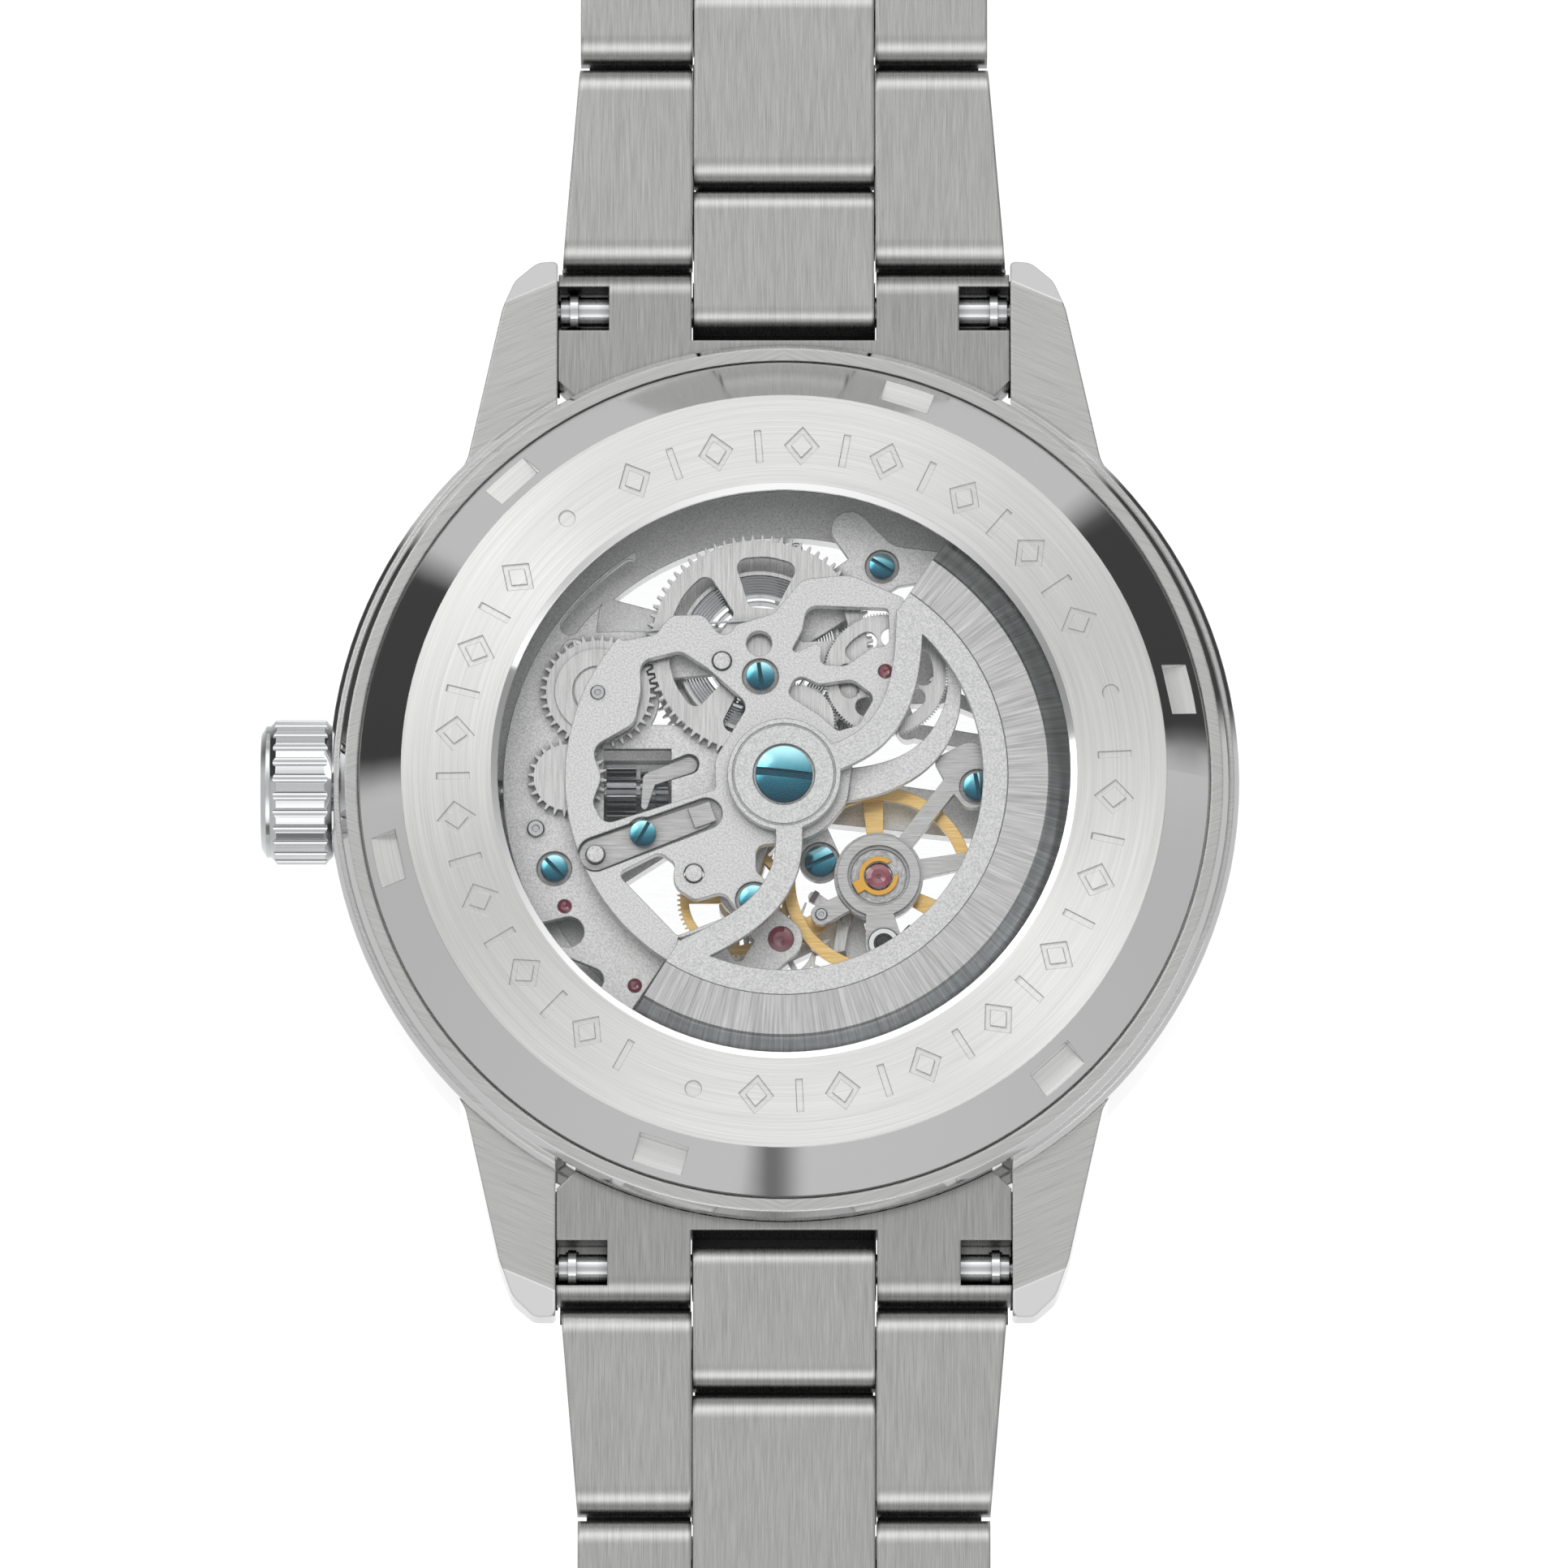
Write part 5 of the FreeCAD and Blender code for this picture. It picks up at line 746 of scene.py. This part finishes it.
class WATCH_OT_fittings(Operator):
    """Adds the studs, rivets, pallet stones, flat springs and dial batons"""
    bl_idname = "watch.fittings"
    bl_label = "Small fittings"

    def execute(self, context):
        # The studs' steel gets painted shade where neighbours stand close.
        steel = polished_metal("Stud steel, polished", "#c8cacb", 0.12, 0.02, crevice_shade=0.3)
        black = matt_black("Black polished screw", "#0d0d0e", 0.2)
        pale = polished_metal("Ring steel, bright", "#ececec", 0.2, 0.02)
        garnet = jewel("Garnet pallet stone", "#5b1420")
        for name, x, y, radius, low, high in STUDS:
            profile = [(0, low), (radius, low), (radius, high - 0.06), (radius - 0.06, high),
                       (radius * 0.45, high), (radius * 0.4, high - 0.05), (0, high - 0.05)]
            lathe(name, profile, x, y, steel, "case")
        lathe("beat_screw_ring", [(0.44, 8.9), (0.78, 8.9), (0.78, 9.2), (0.7, 9.26), (0.5, 9.26),
                                  (0.44, 9.2), (0.44, 8.9)], *BEAT_SCREW, pale, "case")
        lathe("beat_screw", [(0, 8.95), (0.42, 8.95), (0.42, 9.24), (0.34, 9.3), (0, 9.34)],
              *BEAT_SCREW, black, "case")
        for name, start_point, end_point in (("pallet_stone_in", (1.3, -5.55), (1.62, -5.02)),
                                             ("pallet_stone_out", (2.5, -8.16), (3.0, -8.05))):
            strip(name, [start_point, end_point], 0.26, 6.55, 6.9, garnet, "pallet")
        strip("click_wire", [(-7.7, 7.42), (-6.4, 7.44), (-5.2, 7.6), (-3.4, 7.85), (-0.5, 8.02)],
              0.09, 8.9, 9.02, steel, "case")
        strip("beat_lever", [(5.9, -7.1), (6.3, -7.5), (6.6, -8.1)], 0.4, 8.3, 8.6, black, "case")
        inner, outer, width, foot, top = BATON
        for hour in range(12):
            turn = math.radians(hour * 30)
            way = np.array([math.sin(turn), math.cos(turn)])
            strip("baton_%d" % hour, [way * inner, way * outer], width, foot, top, steel, "case")
        return {"FINISHED"}


def azimuth(tree, place):
    """The direction round Z of a place, from 0 at -180 degrees to 1 at +180 degrees."""
    split = add(tree, "ShaderNodeSeparateXYZ", None, in0=place).outputs
    turn = math_node(tree, "ARCTAN2", split["Y"], split["X"])
    return math_node(tree, "ADD", math_node(tree, "DIVIDE", turn, math.tau), 0.5)


def card_mask(tree, place):
    """Black where one of the studio's black cards stands, white elsewhere."""
    stops = []
    for first, last, tone in STUDIO_CARDS:
        stops += [(first - 0.008, 1.0), (first + 0.004, tone),
                  (last - 0.004, tone), (last + 0.008, 1.0)]
    return ramp(tree, azimuth(tree, place), stops)


def light_table(name, strength):
    """Opal glass lit from below: white to the eye, and greyer in mirrors farther from the watch."""
    material, tree, shader, mm = start(name)
    distance = add(tree, "ShaderNodeVectorMath", {"operation": "LENGTH"}, in0=mm).outputs["Value"]
    near = add(tree, "ShaderNodeMapRange", {"From Min": TABLE_FADE[0], "From Max": TABLE_FADE[1]},
               Value=distance).outputs[0]
    far = add(tree, "ShaderNodeVectorMath", {"operation": "SCALE", "Scale": TABLE_LEVEL},
              in0=card_mask(tree, mm)).outputs[0]
    glow = add(tree, "ShaderNodeMix", {"data_type": "RGBA", 6: (1, 1, 1, 1)}, in0=near,
               in7=far).outputs[2]
    eye = add(tree, "ShaderNodeLightPath").outputs["Is Camera Ray"]
    shown = add(tree, "ShaderNodeMix", {"data_type": "RGBA", 7: (1, 1, 1, 1)}, in0=eye,
                in6=glow).outputs[2]
    tree.links.new(shown, shader.inputs["Emission Color"])
    shader.inputs["Base Color"].default_value = (0.05, 0.05, 0.05, 1)
    shader.inputs["Roughness"].default_value = 0.6
    shader.inputs["Specular IOR Level"].default_value = 0.0
    shader.inputs["Emission Strength"].default_value = strength
    return material


def studio_tent(name, strength):
    """A tent of soft light, brightest in two boxes above 12 and 6 o'clock, with black cards low."""
    world = bpy.data.worlds.new(name)
    world.use_nodes = True
    tree = world.node_tree
    ground = tree.nodes["Background"]
    way = add(tree, "ShaderNodeTexCoord").outputs["Generated"]
    split = add(tree, "ShaderNodeSeparateXYZ", None, in0=way).outputs
    boxes = ramp(tree, split["Z"], TENT_BOXES)
    flanks = ramp(tree, split["Z"], TENT_FLANKS)
    level = math_node(tree, "SUBTRACT", 1.0, math_node(tree, "MULTIPLY", split["Z"], split["Z"]))
    level = math_node(tree, "MAXIMUM", level, 0.001)
    share = math_node(tree, "DIVIDE", math_node(tree, "MULTIPLY", split["Y"], split["Y"]), level)
    tent = add(tree, "ShaderNodeMix", {"data_type": "RGBA"}, in0=share, in6=flanks,
               in7=boxes).outputs[2]
    low = add(tree, "ShaderNodeMapRange", {"From Min": CARD_TOP[0], "From Max": CARD_TOP[1]},
              Value=split["Z"]).outputs[0]
    cards = add(tree, "ShaderNodeMix", {"data_type": "RGBA", 7: (1, 1, 1, 1)}, in0=low,
                in6=card_mask(tree, way)).outputs[2]
    lit = add(tree, "ShaderNodeVectorMath", {"operation": "MULTIPLY"}, in0=tent,
              in1=cards).outputs[0]
    eye = add(tree, "ShaderNodeLightPath").outputs["Is Camera Ray"]
    shown = add(tree, "ShaderNodeMix", {"data_type": "RGBA", 7: TENT_GREY}, in0=eye,
                in6=lit).outputs[2]
    tree.links.new(shown, ground.inputs["Color"])
    ground.inputs["Strength"].default_value = TENT_STRENGTH * strength
    return world


class WATCH_OT_stage(Operator):
    """Sets the light table, the studio light and the camera"""
    bl_idname = "watch.stage"
    bl_label = "Stage"

    def execute(self, context):
        settings = context.scene.watch
        scene = context.scene
        edge = 3.0
        mesh = bpy.data.meshes.new("light_table")
        mesh.from_pydata([(-edge, -edge, 0), (edge, -edge, 0), (edge, edge, 0), (-edge, edge, 0)],
                         [], [(0, 1, 2, 3)])
        table = bpy.data.objects.new("light_table", mesh)
        scene.collection.objects.link(table)
        mesh.materials.append(light_table("Opal light table", settings.table_light))
        scene.world = studio_tent("Studio tent", settings.sky_light)

        for name, place, size, power in STUDIO_LAMPS:
            lamp = bpy.data.lights.new(name, "AREA")
            lamp.shape = "RECTANGLE"
            lamp.size, lamp.size_y = size
            lamp.energy = power
            thing = bpy.data.objects.new(name, lamp)
            thing.location = place
            way = Vector((0, 0, 0.008)) - Vector(place)
            thing.rotation_euler = way.to_track_quat("-Z", "Y").to_euler()
            scene.collection.objects.link(thing)

        camera = bpy.data.cameras.new("Camera")
        eye = bpy.data.objects.new("Camera", camera)
        scene.collection.objects.link(eye)
        up = settings.view_height
        aim = Vector((0.0, -0.00005, 0.0086))
        eye.location = aim + CAMERA_DISTANCE * Vector((0, -math.cos(up), math.sin(up)))
        eye.rotation_euler = (math.pi / 2 - up, 0, 0)
        camera.sensor_width = SENSOR
        camera.lens = SENSOR * CAMERA_DISTANCE / settings.view_width
        camera.clip_start, camera.clip_end = 0.01, 20.0
        scene.camera = eye
        scene.view_settings.view_transform = "Standard"
        return {"FINISHED"}


class WATCH_PT_panel(Panel):
    """The watch's settings and steps in the sidebar"""
    bl_label = "Openworked Wristwatch"
    bl_space_type = "VIEW_3D"
    bl_region_type = "UI"
    bl_category = "Watch"

    def draw(self, context):
        settings = context.scene.watch
        for key in ("table_light", "sky_light", "view_width", "view_height", "shade_lining_depth"):
            self.layout.prop(settings, key)
        for step in STEPS:
            self.layout.operator(step.bl_idname)


STEPS = (WATCH_OT_case, WATCH_OT_bracelet, WATCH_OT_shade_linings, WATCH_OT_movement, WATCH_OT_screws,
         WATCH_OT_fittings, WATCH_OT_stage)
CLASSES = (WatchSettings, *STEPS, WATCH_PT_panel)


def register():
    """Adds the watch's classes and its settings to Blender."""
    for kind in CLASSES:
        bpy.utils.register_class(kind)
    bpy.types.Scene.watch = PointerProperty(type=WatchSettings)


def unregister():
    """Takes the watch's classes and settings out again."""
    del bpy.types.Scene.watch
    for kind in reversed(CLASSES):
        bpy.utils.unregister_class(kind)


def main():
    """Runs every step in order."""
    register()
    for step in STEPS:
        group, name = step.bl_idname.split(".")
        getattr(getattr(bpy.ops, group), name)()


if __name__ == "__main__":
    main()
